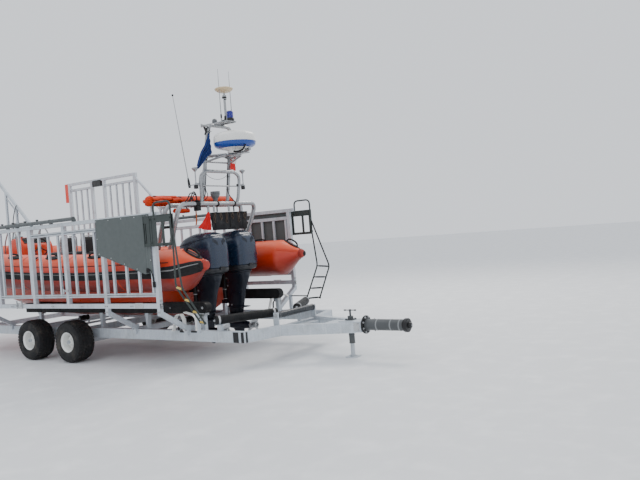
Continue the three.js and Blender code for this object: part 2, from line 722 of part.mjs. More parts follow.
// Stern roller and side fenders that guard the engines
const sternRollerX = -1080;
const sternRollerZ = -320;
const sternRollerR = 48;
keep('stern_roller', rod([sternRollerX, -440.7, sternRollerZ], [sternRollerX, 440.7, sternRollerZ],
  sternRollerR, 20), 'grey');
for (const [, side] of sides) {
  chassisParts.push(sided(side, sternRollerX - 40, sternRollerX + 40, 441, 461, -480, sternRollerZ + 40));
}
for (const [name, side] of sides) {
  keep(`fender_${name}`, rod([-930, side * 240, -300], [-501, side * 1080, -300], 62, 12), 'black');
}
for (const [, side] of sides) {
  chassisParts.push(sided(side, -566, -506, 985, 1045, -480, -362.5));
  chassisParts.push(sided(side, -948, -908, 262, 312, -520, -362.5));
  // Lugs for the ladders' stays
  chassisParts.push(sided(side, -215, -165, 1060, 1100, -470, -200));
}

// Bunks that carry the hull: long padded beams on posts
for (const [name, side] of sides) {
  keep(`bunk_${name}`, join([
    sided(side, -110, 4300, 790, 900, -230, -70),
    rod([-110, side * 790, -150], [-110, side * 900, -150], 80, 16),
  ]).subtract(underHull), 'black');
}
for (const x of [-90, 1100, 2200, 3900]) {
  for (const [, side] of sides) {
    chassisParts.push(sided(side, x - 30, x + 30, 830, 890, -575, -230 - clear));
    chassisParts.push(sided(side, x - 34, x + 34, 826, 1000, -586, -563));
  }
}
const chassis = join(chassisParts).subtract(jackHole);
keep('chassis', chassis, 'galv');

// Hitch: flanged box end with a round sprung coupler
const hitchZ = -500;
const hitchStep = (from, to, radius, steps) => rod([from, 0, hitchZ], [to, 0, hitchZ], radius, steps);
keep('hitch', join([
  hitchStep(-2250 - clear, -2275, 125, 20),
  hitchStep(-2270, -2880, 76, 20),
  hitchStep(-2860, -2910, 92, 20),
  hitchStep(-2900, hitchTipX, 40, 16),
]), 'grey');

// Parking jack: outer tube in the draw frame, sliding leg with a foot plate
keep('jack_tube', join([
  rod([jackX, 0, -760], [jackX, 0, -385], 40, 20),
  block(jackX - 60, jackX + 60, -60, 60, -440 + clear, -425),
  rod([jackX, 0, -390], [jackX, 0, -310], 14, 12),
  bar([jackX - 95, 0, -305], [jackX + 95, 0, -305], 26, 14),
]).subtract(rod([jackX, 0, -800], [jackX, 0, -400], 30, 20)), 'grey');
keep('jack_leg', join([
  rod([jackX, 0, -930], [jackX, 0, -560], 29.6, 20),
  block(jackX - 90, jackX + 90, -90, 90, floorZ, -930),
]), 'galv');

// Guard fences: posts, rails and bars in one flat grille each side
const postXs = [57, 1162, 2070, 2953];
const barXs = [140, 409, 672, 955, 1338, 1597, 1838, 2230, 2480, 2730, 3010, 3280, 3555, 3820];
// Bow frames on the fences' fore halves
const tallPosts = [[3915, 3995], [4927, 4990], [5340, 5405], [6130, 6200]];
const tallBars = [4165, 4370, 4575, 4780, 5570, 5775, 5980];
for (const [name, side] of sides) {
  const y0 = fenceY - 30;
  const y1 = fenceY + 30;
  const parts = [
    sided(side, 26, fenceEndX, y0, y1, railFootZ, 0),
    sided(side, 26, fenceEndX, fenceY - 12, fenceY + 26, 92, 148),
    sided(side, 1162, 2953, fenceY - 12, fenceY + 26, 1058, 1117),
    sided(side, -50, fenceEndX, y0, y1, 1190, fenceTopZ),
  ];
  for (const x of postXs) parts.push(sided(side, x - 31, x + 31, y0, y1, railFootZ, 1200));
  for (const x of [...barXs, 4090, 4350, 4610, 4870, 5130, 5390, 5650, 5910]) {
    const top = x > 1162 && x < 2953 ? 1070 : 1200;
    parts.push(sided(side, x - 20, x + 20, fenceY - 8, fenceY + 22, 120, top));
  }
  parts.push(sided(side, fenceEndX - 66, fenceEndX, y0, y1, railFootZ, 1200));
  parts.push(sided(side, 3280, 3460, fenceY - 20, fenceY + 30, -5, 30));
  parts.push(sided(side, 3915, 3995, y0, y1, railFootZ, 1200));
  keep(`fence_${name}`, join(parts), 'galv');

  // Bow frame: tall posts, rails, bars, slanting tube, small brace, lamp box, end board, top pipe
  const foot = fenceTopZ + clear;
  const slantZ = (x) => 1242 + (x - 2880) * 0.923;
  const frameParts = [
    sided(side, tallPosts[0][0], fenceEndX, y0, y1, tallTopZ - 56, tallTopZ),
    sided(side, tallPosts[0][0], tallPosts[1][1], fenceY - 12, fenceY + 26, 2140, 2192),
    sided(side, tallPosts[2][0], fenceEndX, fenceY - 12, fenceY + 26, 2140, 2192),
    bar([2800, side * fenceY, slantZ(2800)], [3950, side * fenceY, slantZ(3950)], 50, 58),
    bar([3262, side * (fenceY - 4), 1480], [3560, side * (fenceY - 4), 1764], 24, 30),
    sided(side, 5030, 5310, fenceY - 45, fenceY + 45, 2168, 2300),
    sided(side, 6190, 6345, fenceY - 8, fenceY + 8, 1905, 2326),
    rod([1740, side * 1577, 1290], [4030, side * 1577, 1290], 29, 12),
  ];
  for (const [x0, x1] of tallPosts) frameParts.push(sided(side, x0, x1, y0, y1, foot, tallTopZ));
  for (const x of tallBars) {
    frameParts.push(sided(side, x - 18, x + 18, fenceY - 8, fenceY + 22, foot, 2160));
  }
  frameParts.push(sided(side, 3535, 3575, fenceY - 8, fenceY + 22, foot, slantZ(3555)));
  frameParts.push(sided(side, 3260, 3300, fenceY - 8, fenceY + 22, foot, slantZ(3280)));
  for (const x of [1765, 2350, 3280, 3555, 3900]) {
    frameParts.push(sided(side, x - 22, x + 22, 1535, 1578, foot, 1285));
  }
  for (const x of [2683, 3017, 3360, 3680]) {
    frameParts.push(rod([x, side * 1577, 1300], [x, side * 1577, 1345], 21, 10));
  }
  const below = block(2500, 3200, -1700, 1700, 1000, foot);
  keep(`bow_frame_${name}`, join(frameParts).subtract(below), 'galv');

  // Flat side panel, outside the fence
  keep(`panel_${name}`, plateXZ([[110, 1228], [110, 430], [255, 408], [1146, 689], [1268, 713],
    [1258, 1228]], side * (fenceY + 30.3), side * (fenceY + 36)), 'grey');
  // Boarding gate: slotted plate and hoop aft of the corner post, held off the fence by two spacers
  const gate = sided(side, -375, 190, 1588, 1606, 780, 1200);
  const slots = join([[-322, -212], [-172, -65], [132, 148], [160, 176]].map(([x0, x1]) => (
    sided(side, x0, x1, 1500, 1660, 822, 1100))));
  const gateHoop = pipe([[-357, side * 1597, 1190], [-357, side * 1597, 1370],
    [-30, side * 1597, 1370], [-30, side * 1597, 1190]], 13, 8, 110, 3);
  const gateParts = [
    gate.subtract(slots),
    gateHoop,
    sided(side, 20, 64, 1565.3, 1590, 800, 860),
    sided(side, 20, 64, 1565.3, 1590, 1120, 1180),
    sided(side, -375, -357, 1570, 1606, 780, 1200),
  ];
  // Ladder: two rails, bent at the knee, and rungs
  const railA = [[-362, side * 1597, 830], [-395, side * 1640, 235], [-395, side * 1240, -307]];
  const railB = [[-372, side * 1597, 1000], [-590, side * 1716, 212], [-590, side * 1352, -299]];
  const lerp = (a, b, t) => a.map((v, i) => v + t * (b[i] - v));
  const rung = (t) => rod(lerp(railA[1], railA[2], t), lerp(railB[1], railB[2], t), 11, 6);
  const stay = [[-215.3, side * 1080, -222], [-300, side * 1080, -222], [-396, side * 1283, -250]];
  const ladderParts = [
    pipe(railA, 12, 6, 60, 2), pipe(railB, 12, 6, 60, 2), pipe(stay, 10, 6, 40, 2),
    rung(0.02), rung(0.35), rung(0.68), rung(0.97),
  ];
  keep(`ladder_${name}`, join([...gateParts, ...ladderParts]), 'black');
}

export default group;
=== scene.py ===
import math

import bmesh
import bpy
from mathutils import Matrix, Vector


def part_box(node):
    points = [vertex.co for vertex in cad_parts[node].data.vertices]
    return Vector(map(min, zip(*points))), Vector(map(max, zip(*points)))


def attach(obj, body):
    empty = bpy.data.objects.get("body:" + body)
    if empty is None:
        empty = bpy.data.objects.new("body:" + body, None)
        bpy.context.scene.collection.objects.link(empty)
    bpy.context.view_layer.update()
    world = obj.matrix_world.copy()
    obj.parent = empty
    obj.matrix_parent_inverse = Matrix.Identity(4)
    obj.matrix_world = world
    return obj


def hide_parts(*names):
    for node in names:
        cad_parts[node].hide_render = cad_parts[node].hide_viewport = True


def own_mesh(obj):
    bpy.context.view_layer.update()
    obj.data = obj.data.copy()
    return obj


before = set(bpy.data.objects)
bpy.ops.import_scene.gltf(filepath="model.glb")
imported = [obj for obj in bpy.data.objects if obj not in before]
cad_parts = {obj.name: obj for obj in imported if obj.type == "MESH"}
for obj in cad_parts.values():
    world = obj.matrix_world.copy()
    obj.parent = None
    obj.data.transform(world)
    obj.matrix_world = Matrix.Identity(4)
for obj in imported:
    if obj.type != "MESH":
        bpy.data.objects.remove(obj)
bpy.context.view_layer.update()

# Places are given in metres from the carriage's stern corner post, the centreline and the top of
# the fence's bottom rail, as the part's own tables are; at() moves them into the shared frame
STERN_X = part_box("fence_port")[0].x + 0.050
RAIL_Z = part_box("fence_port")[0].z + 0.067
SIDES = (("port", 1), ("stbd", -1))


def at(x, y, z):
    return Vector((x + STERN_X, y, z + RAIL_Z))


# Camera

FOCAL_PX = 661.75
WIDTH_PX = 640
SENSOR = 36.0
EYE = (-6.893, 7.701, 0.804)
GAZE = Vector((0.56537, -0.82474, -0.01245))
HEAD_UP = Vector((-0.05776, -0.05464, 0.99683))


def make_camera():
    lens = bpy.data.cameras.new("camera")
    lens.sensor_width = SENSOR
    lens.sensor_fit = "HORIZONTAL"
    lens.lens = FOCAL_PX / WIDTH_PX * SENSOR
    lens.clip_end = 200
    eye = bpy.data.objects.new("camera", lens)
    right = GAZE.cross(HEAD_UP).normalized()
    up = right.cross(GAZE).normalized()
    back = -GAZE.normalized()
    turn = Matrix((right, up, back)).transposed()
    eye.matrix_world = Matrix.Translation(at(*EYE)) @ turn.to_4x4()
    bpy.context.scene.collection.objects.link(eye)
    bpy.context.scene.camera = eye


make_camera()

# Light and world


def lamp(name, place, target, size, power, colour):
    data = bpy.data.lights.new(name, "AREA")
    data.shape = "RECTANGLE"
    data.size = size[0]
    data.size_y = size[1]
    data.energy = power
    data.color = colour
    obj = bpy.data.objects.new(name, data)
    obj.location = place
    aim = Vector(target) - Vector(place)
    obj.rotation_euler = aim.to_track_quat("-Z", "Y").to_euler()
    bpy.context.scene.collection.objects.link(obj)


def make_studio():
    lamp("key", (-3, -9, 11), (-1, 0, 1), (5, 5), 820, (1.0, 0.96, 0.90))
    lamp("fill", (-9, 10, 6), (-1, 0, 1), (9, 6), 110, (0.93, 0.97, 1.0))
    lamp("top", (1, 2, 12), (0, 0, 1), (7, 5), 180, (1, 1, 1))
    lamp("bow", (13, 4, 6), (0, 0, 1), (7, 5), 100, (0.95, 0.98, 1.0))
    world = bpy.data.worlds.new("studio")
    world.use_nodes = True
    sky = world.node_tree.nodes["Background"]
    sky.inputs["Color"].default_value = (0.90, 0.94, 1.0, 1)
    sky.inputs["Strength"].default_value = 1.15
    bpy.context.scene.world = world


make_studio()

# Materials


class Coat:
    """A procedural material: base colour with patches, grain and runs, its roughness and its bump."""

    def __init__(self, name, colour, rough=0.5, metal=0.0):
        self.mat = bpy.data.materials.new(name)
        self.mat.use_nodes = True
        self.tree = self.mat.node_tree
        self.bsdf = self.tree.nodes["Principled BSDF"]
        self.bsdf.inputs["Metallic"].default_value = metal
        self.bsdf.inputs["Roughness"].default_value = rough
        self.bsdf.inputs["Base Color"].default_value = (*colour, 1)
        self.colour = None
        self.base = colour
        self.normal = None
        where = self.tree.nodes.new("ShaderNodeTexCoord")
        self.place = where.outputs["Object"]

    def link(self, a, b):
        self.tree.links.new(a, b)

    def scaled(self, scale):
        node = self.tree.nodes.new("ShaderNodeMapping")
        node.inputs["Scale"].default_value = scale
        self.link(self.place, node.inputs["Vector"])
        return node.outputs["Vector"]

    def noise(self, scale, detail=4.0, rough=0.55, stretch=None, distortion=0.0):
        node = self.tree.nodes.new("ShaderNodeTexNoise")
        node.inputs["Scale"].default_value = scale
        node.inputs["Detail"].default_value = detail
        node.inputs["Roughness"].default_value = rough
        node.inputs["Distortion"].default_value = distortion
        self.link(self.scaled(stretch) if stretch else self.place, node.inputs["Vector"])
        return node.outputs["Fac"]

    def cells(self, scale, stretch=None):
        node = self.tree.nodes.new("ShaderNodeTexVoronoi")
        node.inputs["Scale"].default_value = scale
        self.link(self.scaled(stretch) if stretch else self.place, node.inputs["Vector"])
        return node

    def wave(self, scale, axis="X", kind="SIN", distortion=0.0):
        node = self.tree.nodes.new("ShaderNodeTexWave")
        node.bands_direction = axis
        node.wave_profile = kind
        node.inputs["Scale"].default_value = scale
        node.inputs["Distortion"].default_value = distortion
        self.link(self.place, node.inputs["Vector"])
        return node.outputs["Fac"]

    def ramp(self, source, low, high, a=0.0, b=1.0):
        node = self.tree.nodes.new("ShaderNodeMapRange")
        node.inputs["From Min"].default_value = low
        node.inputs["From Max"].default_value = high
        node.inputs["To Min"].default_value = a
        node.inputs["To Max"].default_value = b
        self.link(source, node.inputs["Value"])
        return node.outputs["Result"]

    def times(self, a, b):
        node = self.tree.nodes.new("ShaderNodeMath")
        node.operation = "MULTIPLY"
        for k, value in enumerate((a, b)):
            if isinstance(value, (int, float)):
                node.inputs[k].default_value = value
            else:
                self.link(value, node.inputs[k])
        return node.outputs["Value"]

    def axis(self, letter, of="place"):
        node = self.tree.nodes.new("ShaderNodeSeparateXYZ")
        if of == "place":
            self.link(self.place, node.inputs["Vector"])
        else:
            geometry = self.tree.nodes.new("ShaderNodeNewGeometry")
            self.link(geometry.outputs["Normal"], node.inputs["Vector"])
        return node.outputs[letter]

    def tint(self, colour, share):
        """Mixes a colour over what is there, where share says."""
        node = self.tree.nodes.new("ShaderNodeMix")
        node.data_type = "RGBA"
        self.link(share, node.inputs["Factor"])
        if self.colour is None:
            node.inputs["A"].default_value = (*self.base, 1)
        else:
            self.link(self.colour, node.inputs["A"])
        node.inputs["B"].default_value = (*colour, 1)
        self.colour = node.outputs["Result"]
        self.link(self.colour, self.bsdf.inputs["Base Color"])
        return self

    def roughen(self, source, low, high):
        self.link(self.ramp(source, 0.25, 0.75, low, high), self.bsdf.inputs["Roughness"])
        return self

    def bump(self, source, strength, distance):
        node = self.tree.nodes.new("ShaderNodeBump")
        node.inputs["Strength"].default_value = strength
        node.inputs["Distance"].default_value = distance
        self.link(source, node.inputs["Height"])
        if self.normal is not None:
            self.link(self.normal, node.inputs["Normal"])
        self.normal = node.outputs["Normal"]
        self.link(self.normal, self.bsdf.inputs["Normal"])
        return self


def galvanised(name="galvanised", colour=(0.50, 0.54, 0.58), rust=0.35):
    coat = Coat(name, colour, 0.5, 0.25)
    coat.tint((0.62, 0.66, 0.70), coat.ramp(coat.cells(55).outputs["Distance"], 0.1, 0.7, 0, 0.55))
    coat.tint((0.33, 0.35, 0.36), coat.ramp(coat.noise(5, 6), 0.50, 0.75, 0, 0.6))
    runs = coat.noise(9, 5, stretch=(3.0, 3.0, 0.35))
    coat.tint((0.70, 0.73, 0.75), coat.ramp(runs, 0.52, 0.70, 0, 0.5))
    spots = coat.noise(13, 7, 0.65)
    coat.tint((0.22, 0.10, 0.04), coat.ramp(spots, 0.66, 0.78, 0, rust))
    coat.roughen(coat.noise(18, 4), 0.38, 0.66)
    coat.bump(coat.noise(160, 3), 0.18, 0.001)
    return coat.mat


def painted(name, colour, rough=0.45, metal=0.1, worn=(0.35, 0.36, 0.36), wear=0.25, speck=150):
    coat = Coat(name, colour, rough, metal)
    coat.tint(worn, coat.ramp(coat.noise(7, 7, 0.62), 0.58, 0.80, 0, wear))
    lighter = tuple(min(1.0, c * 1.35 + 0.01) for c in colour)
    coat.tint(lighter, coat.ramp(coat.noise(3, 4, stretch=(1, 1, 0.4)), 0.48, 0.72, 0, 0.45))
    coat.roughen(coat.noise(14, 4), rough - 0.12, rough + 0.14)
    coat.bump(coat.noise(speck, 3), 0.12, 0.0012)
    return coat.mat


def tube_fabric():
    coat = Coat("tube_fabric", (0.52, 0.022, 0.0), 0.40)
    painted_light_facing = coat.axis("Z", "normal")
    # Painted light: upward faces of the tube take a paler orange as a painted highlight, downward faces a
    # deep dark orange as painted shade.
    coat.tint((0.92, 0.115, 0.022), coat.ramp(painted_light_facing, 0.20, 0.9, 0, 0.85))
    coat.tint((0.15, 0.005, 0.0), coat.ramp(painted_light_facing, 0.05, -0.75, 0, 0.85))
    coat.tint((0.55, 0.11, 0.04), coat.ramp(coat.noise(4, 7, 0.6), 0.56, 0.78, 0, 0.28))
    coat.tint((0.20, 0.09, 0.05), coat.ramp(coat.noise(22, 6, 0.7), 0.66, 0.80, 0, 0.4))
    coat.bsdf.inputs["Coat Weight"].default_value = 0.25
    coat.bsdf.inputs["Coat Roughness"].default_value = 0.35
    coat.roughen(coat.noise(11, 5), 0.34, 0.56)
    coat.bump(coat.noise(2.2, 2), 0.25, 0.012)
    coat.bump(coat.cells(520).outputs["Distance"], 0.10, 0.0006)
    return coat.mat


def gelcoat():
    coat = Coat("gelcoat", (0.46, 0.030, 0.002), 0.30)
    up = coat.ramp(coat.axis("Z", "normal"), 0.80, 0.90)
    # Painted shade: the hull darkens towards the bottom, below the tube.
    height = coat.ramp(coat.axis("Z"), RAIL_Z - 0.40, RAIL_Z + 0.10)
    coat.tint((0.22, 0.014, 0.001), coat.ramp(height, 0.0, 1.0, 0.75, 0.0))
    coat.tint((0.24, 0.06, 0.03), coat.ramp(coat.noise(5, 7, 0.6, stretch=(0.5, 1, 2)), 0.52, 0.75, 0, 0.5))
    coat.tint((0.42, 0.38, 0.32), coat.ramp(coat.noise(36, 4, stretch=(0.2, 1, 3)), 0.66, 0.74, 0, 0.35))
    coat.tint((0.23, 0.245, 0.25), up)
    deck = coat.times(up, coat.ramp(coat.noise(4, 6), 0.5, 0.75, 0, 0.6))
    coat.tint((0.15, 0.15, 0.14), deck)
    coat.roughen(coat.noise(9, 5), 0.22, 0.50)
    coat.bump(coat.cells(140).outputs["Distance"], 0.12, 0.0014)
    return coat.mat


def rubber(name, colour, dust=(0.16, 0.15, 0.14), rough=0.72, share=0.45):
    coat = Coat(name, colour, rough)
    coat.tint(dust, coat.ramp(coat.noise(6, 7, 0.62), 0.48, 0.75, 0, share))
    coat.tint(tuple(c * 0.5 for c in colour), coat.ramp(coat.noise(21, 5), 0.55, 0.75, 0, 0.6))
    coat.roughen(coat.noise(16, 4), rough - 0.14, min(rough + 0.14, 0.95))
    coat.bsdf.inputs["Specular IOR Level"].default_value = 0.25
    coat.bump(coat.noise(210, 3), 0.16, 0.0012)
    return coat.mat


def cowl_paint():
    coat = Coat("cowl_paint", (0.008, 0.019, 0.044), 0.22, 0.15)
    # Painted light: upward faces take a lighter navy, downward faces stay darker, by the direction they face.
    coat.tint((0.012, 0.027, 0.056), coat.ramp(coat.axis("Z", "normal"), -0.3, 0.7, 0, 0.8))
    coat.tint((0.05, 0.06, 0.075), coat.ramp(coat.noise(7, 7, 0.6), 0.60, 0.82, 0, 0.20))
    coat.tint((0.16, 0.16, 0.16), coat.ramp(coat.noise(60, 3, stretch=(1, 1, 0.25)), 0.70, 0.78, 0, 0.15))
    coat.bsdf.inputs["Coat Weight"].default_value = 0.30
    coat.bsdf.inputs["Coat Roughness"].default_value = 0.06
    coat.roughen(coat.noise(12, 4), 0.16, 0.38)
    coat.bump(coat.noise(420, 2), 0.04, 0.0004)
    return coat.mat


def woven(name, colour, thread=420.0, rough=0.85, fade=None, painted_crease_shade=False):
    coat = Coat(name, colour, rough)
    coat.tint(fade or tuple(min(1, c * 1.6 + 0.01) for c in colour),
              coat.ramp(coat.noise(9, 6), 0.46, 0.72, 0, 0.55))
    coat.tint(tuple(c * 0.45 for c in colour), coat.ramp(coat.noise(25, 5), 0.55, 0.78, 0, 0.6))
    if painted_crease_shade:
        # Painted shade: hollows and creases darkened from the mesh's pointiness.
        hollows = coat.tree.nodes.new("ShaderNodeNewGeometry").outputs["Pointiness"]
        coat.tint(tuple(c * 0.12 for c in colour), coat.ramp(hollows, 0.49, 0.42, 0, 0.9))
    coat.bump(coat.wave(thread, "Z"), 0.22, 0.0008)
    coat.bump(coat.wave(thread, "Y"), 0.22, 0.0008)
    coat.bsdf.inputs["Sheen Weight"].default_value = 0.08
    coat.bsdf.inputs["Specular IOR Level"].default_value = 0.25
    return coat.mat


def clear_sheet():
    coat = Coat("clear_sheet", (0.80, 0.88, 0.90), 0.06)
    coat.bsdf.inputs["Transmission Weight"].default_value = 0.92
    coat.bsdf.inputs["IOR"].default_value = 1.2
    coat.roughen(coat.noise(9, 5), 0.03, 0.16)
    coat.bump(coat.noise(3, 2), 0.04, 0.002)
    return coat.mat


def glowing_blue():
    coat = Coat("lens_blue", (0.004, 0.007, 0.17), 0.10)
    coat.tint((0.010, 0.016, 0.34), coat.ramp(coat.wave(26, "Z"), 0.3, 0.9))
    coat.bsdf.inputs["Coat Weight"].default_value = 0.7
    coat.bump(coat.wave(26, "Z"), 0.4, 0.002)
    return coat.mat


GALV = galvanised()
GALV_PALE = galvanised("galvanised_pale", (0.46, 0.51, 0.56), 0.22)
GATE = painted("gate_paint", (0.030, 0.040, 0.037), 0.45, 0.15, (0.07, 0.085, 0.078), 0.4)
TUBE = tube_fabric()
HULL = gelcoat()
POD_ORANGE = painted("pod_orange", (0.66, 0.042, 0.002), 0.34, 0.0, (0.40, 0.08, 0.03))
# The bag cloth carries painted shade in its creases.
BAG = woven("bag_cloth", (0.62, 0.035, 0.001), 300.0, 0.7, (0.75, 0.080, 0.012), painted_crease_shade=True)
RUBBER = rubber("rubber", (0.009, 0.009, 0.010), (0.055, 0.052, 0.048), 0.60, 0.30)
RUBBER_PALE = rubber("rubber_pale", (0.20, 0.20, 0.20), (0.34, 0.33, 0.31))
TYRE = rubber("tyre", (0.022, 0.022, 0.023), (0.13, 0.115, 0.095), 0.82, 0.6)
COWL = cowl_paint()
COWL_DARK = painted("cowl_dark", (0.012, 0.020, 0.038), 0.20, 0.15, (0.04, 0.045, 0.055), 0.15)
PAN = painted("cowl_pan", (0.016, 0.018, 0.022), 0.40, 0.1, (0.06, 0.06, 0.06))
LEG = painted("leg_paint", (0.007, 0.010, 0.019), 0.34, 0.2, (0.05, 0.06, 0.07), 0.25)
BLACK = painted("black_paint", (0.009, 0.009, 0.010), 0.42, 0.2, (0.09, 0.07, 0.055))
PANEL = painted("panel_paint", (0.085, 0.100, 0.098), 0.55, 0.15, (0.13, 0.14, 0.13), 0.4)
DARK_PIPE = painted("pipe_paint", (0.085, 0.095, 0.097), 0.5, 0.1, (0.18, 0.18, 0.17))
GREY = painted("grey_paint", (0.075, 0.08, 0.083), 0.42, 0.3, (0.20, 0.17, 0.14), 0.4)
DARK_STEEL = painted("dark_steel", (0.022, 0.025, 0.030), 0.30, 0.2, (0.09, 0.09, 0.09), 0.25)
PLASTIC = painted("grey_plastic", (0.22, 0.23, 0.235), 0.5, 0.0, (0.30, 0.29, 0.27))
WHITE = painted("white_gloss", (0.80, 0.80, 0.77), 0.28, 0.0, (0.55, 0.53, 0.48), 0.2)
ALLOY = painted("alloy", (0.34, 0.35, 0.36), 0.30, 0.55, (0.20, 0.20, 0.20), 0.5)
AERIAL = painted("aerial_grey", (0.30, 0.31, 0.31), 0.45, 0.0, (0.45, 0.44, 0.42), 0.4)
WEBBING = woven("webbing", (0.36, 0.085, 0.025), 500.0, 0.8)
STEEL = painted("steel", (0.46, 0.47, 0.48), 0.3, 0.85, (0.30, 0.28, 0.25), 0.4)
BAND_BLUE = painted("band_blue", (0.012, 0.06, 0.30), 0.25, 0.0, (0.05, 0.12, 0.35))
RED = painted("red_paint", (0.72, 0.030, 0.004), 0.4, 0.0, (0.5, 0.10, 0.05), 0.15)
# Painted shade: the cone caps face aft and take a darker copy of the tube's orange.
SHADED_CONE_CAP = painted("cone_cap", (0.30, 0.012, 0.001), 0.4, 0.0, (0.30, 0.06, 0.03))
LAMP_GREY = painted("lamp_grey", (0.130, 0.137, 0.143), 0.38, 0.1, (0.25, 0.25, 0.25))
CREAM = painted("cream", (0.60, 0.47, 0.29), 0.35, 0.0, (0.52, 0.42, 0.28), 0.15)
YELLOW = painted("yellow", (0.62, 0.44, 0.10), 0.5, 0.0, (0.30, 0.22, 0.10), 0.5)
LENS = glowing_blue()
SCREEN = clear_sheet()
VINYL = rubber("vinyl", (0.022, 0.022, 0.024), (0.07, 0.07, 0.07), 0.5)
NET = woven("net_cloth", (0.014, 0.014, 0.016), 240.0, 0.9, (0.06, 0.06, 0.06))
FLAG_BLUE = woven("flag_blue_cloth", (0.010, 0.028, 0.140), 700.0, 0.8, (0.020, 0.060, 0.24))
FLAG_RED = woven("flag_red_cloth", (0.58, 0.008, 0.008), 700.0, 0.8, (0.70, 0.02, 0.015))
ROPE = woven("rope", (0.080, 0.055, 0.040), 900.0, 0.8, (0.14, 0.11, 0.085))
TUBE_SEAM = painted("tube_seam", (0.56, 0.035, 0.002), 0.38, 0.0, (0.35, 0.06, 0.02), 0.4)
FLAG_WHITE = woven("flag_white_cloth", (0.75, 0.72, 0.70), 700.0, 0.8)
FLOOR = painted("floor_paint", (0.80, 0.81, 0.82), 0.6, 0.0, (0.77, 0.78, 0.79), 0.3)

CAD_COATS = {
    "chassis": GALV_PALE, "axle": GALV, "fence": GALV, "bow_frame": GALV, "jack_leg": GALV,
    "hull": HULL, "console": POD_ORANGE, "screen": SCREEN, "collar": TUBE, "righting_bag": BAG,
    "strake": RUBBER, "bunk": RUBBER, "fender": RUBBER, "keel_roller": RUBBER, "helm_wheel": RUBBER,
    "clamp": BLACK, "swivel": BLACK, "leg": LEG, "ladder": BLACK, "searchlight": BLACK,
    "cowl": COWL, "beacon": LENS, "seat_pod": PLASTIC, "bow_locker": PLASTIC, "stern_roller": DARK_STEEL,
    "hitch": GREY, "jack_tube": GREY, "panel": PANEL, "radar": WHITE, "rim": WHITE, "arch": ALLOY,
    "mast": ALLOY, "seats": VINYL, "net_bag": NET, "flag_blue": FLAG_BLUE, "flag_red": FLAG_RED,
    "tyre": TYRE, "prop": STEEL,
}


def coat_for(node):
    for width in (3, 2, 1):
        key = "_".join(node.split("_")[:width])
        if key in CAD_COATS:
            return CAD_COATS[key]
    return GALV


def dress_cad():
    for name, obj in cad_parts.items():
        obj.data.materials.clear()
        obj.data.materials.append(coat_for(name))
        soften(obj, 0.0025)


def round_edges(obj, width, angle, segments=2):
    """A small round on real edges, with flat faces kept flat."""
    bevel = obj.modifiers.new("round", "BEVEL")
    bevel.width = width
    bevel.segments = segments
    bevel.limit_method = "ANGLE"
    bevel.angle_limit = math.radians(angle)
    flat = obj.modifiers.new("flat_faces", "WEIGHTED_NORMAL")
    flat.keep_sharp = True
    flat.weight = 60


def soften(obj, width, angle=32):
    """Smooth shading but for real edges, on a CAD node's own mesh."""
    obj.data.shade_smooth()
    weld = obj.modifiers.new("weld", "WELD")
    weld.merge_threshold = 0.00002
    round_edges(obj, width, angle)


# Mesh building


def rounded(points, radius, steps=7):
    """Corner points replaced by short curves, as the part's own tubes have them."""
    pts = [Vector(p) for p in points]
    out = [pts[0]]
    for before, corner, after in zip(pts, pts[1:], pts[2:]):
        back = before - corner
        fore = after - corner
        reach = min(radius, back.length * 0.45, fore.length * 0.45)
        start = corner + back.normalized() * reach
        end = corner + fore.normalized() * reach
        for k in range(steps + 1):
            t = k / steps
            out.append(start.lerp(corner, t).lerp(corner.lerp(end, t), t))
    out.append(pts[-1])
    return out


def eased(points, steps=8):
    """A smooth curve through every point, of as many dimensions as the points have."""
    pts = [Vector(p) for p in points]
    out = []
    for i in range(len(pts) - 1):
        a = pts[max(i - 1, 0)]
        b = pts[i]
        c = pts[i + 1]
        d = pts[min(i + 2, len(pts) - 1)]
        for k in range(steps):
            t = k / steps
            turn = (2 * a - 5 * b + 4 * c - d) * t * t + (3 * b - a - 3 * c + d) * t ** 3
            out.append(0.5 * (2 * b + (c - a) * t + turn))
    out.append(pts[-1])
    return out


def arc(centre, radius, start, end, steps, flat="XZ"):
    """Points on an arc, its angles in degrees, in the plane of two axes."""
    out = []
    for k in range(steps + 1):
        a = math.radians(start + (end - start) * k / steps)
        p = Vector(centre)
        for axis, reach in zip(flat, (math.cos(a), math.sin(a))):
            p["XYZ".index(axis)] += radius * reach
        out.append(p)
    return out


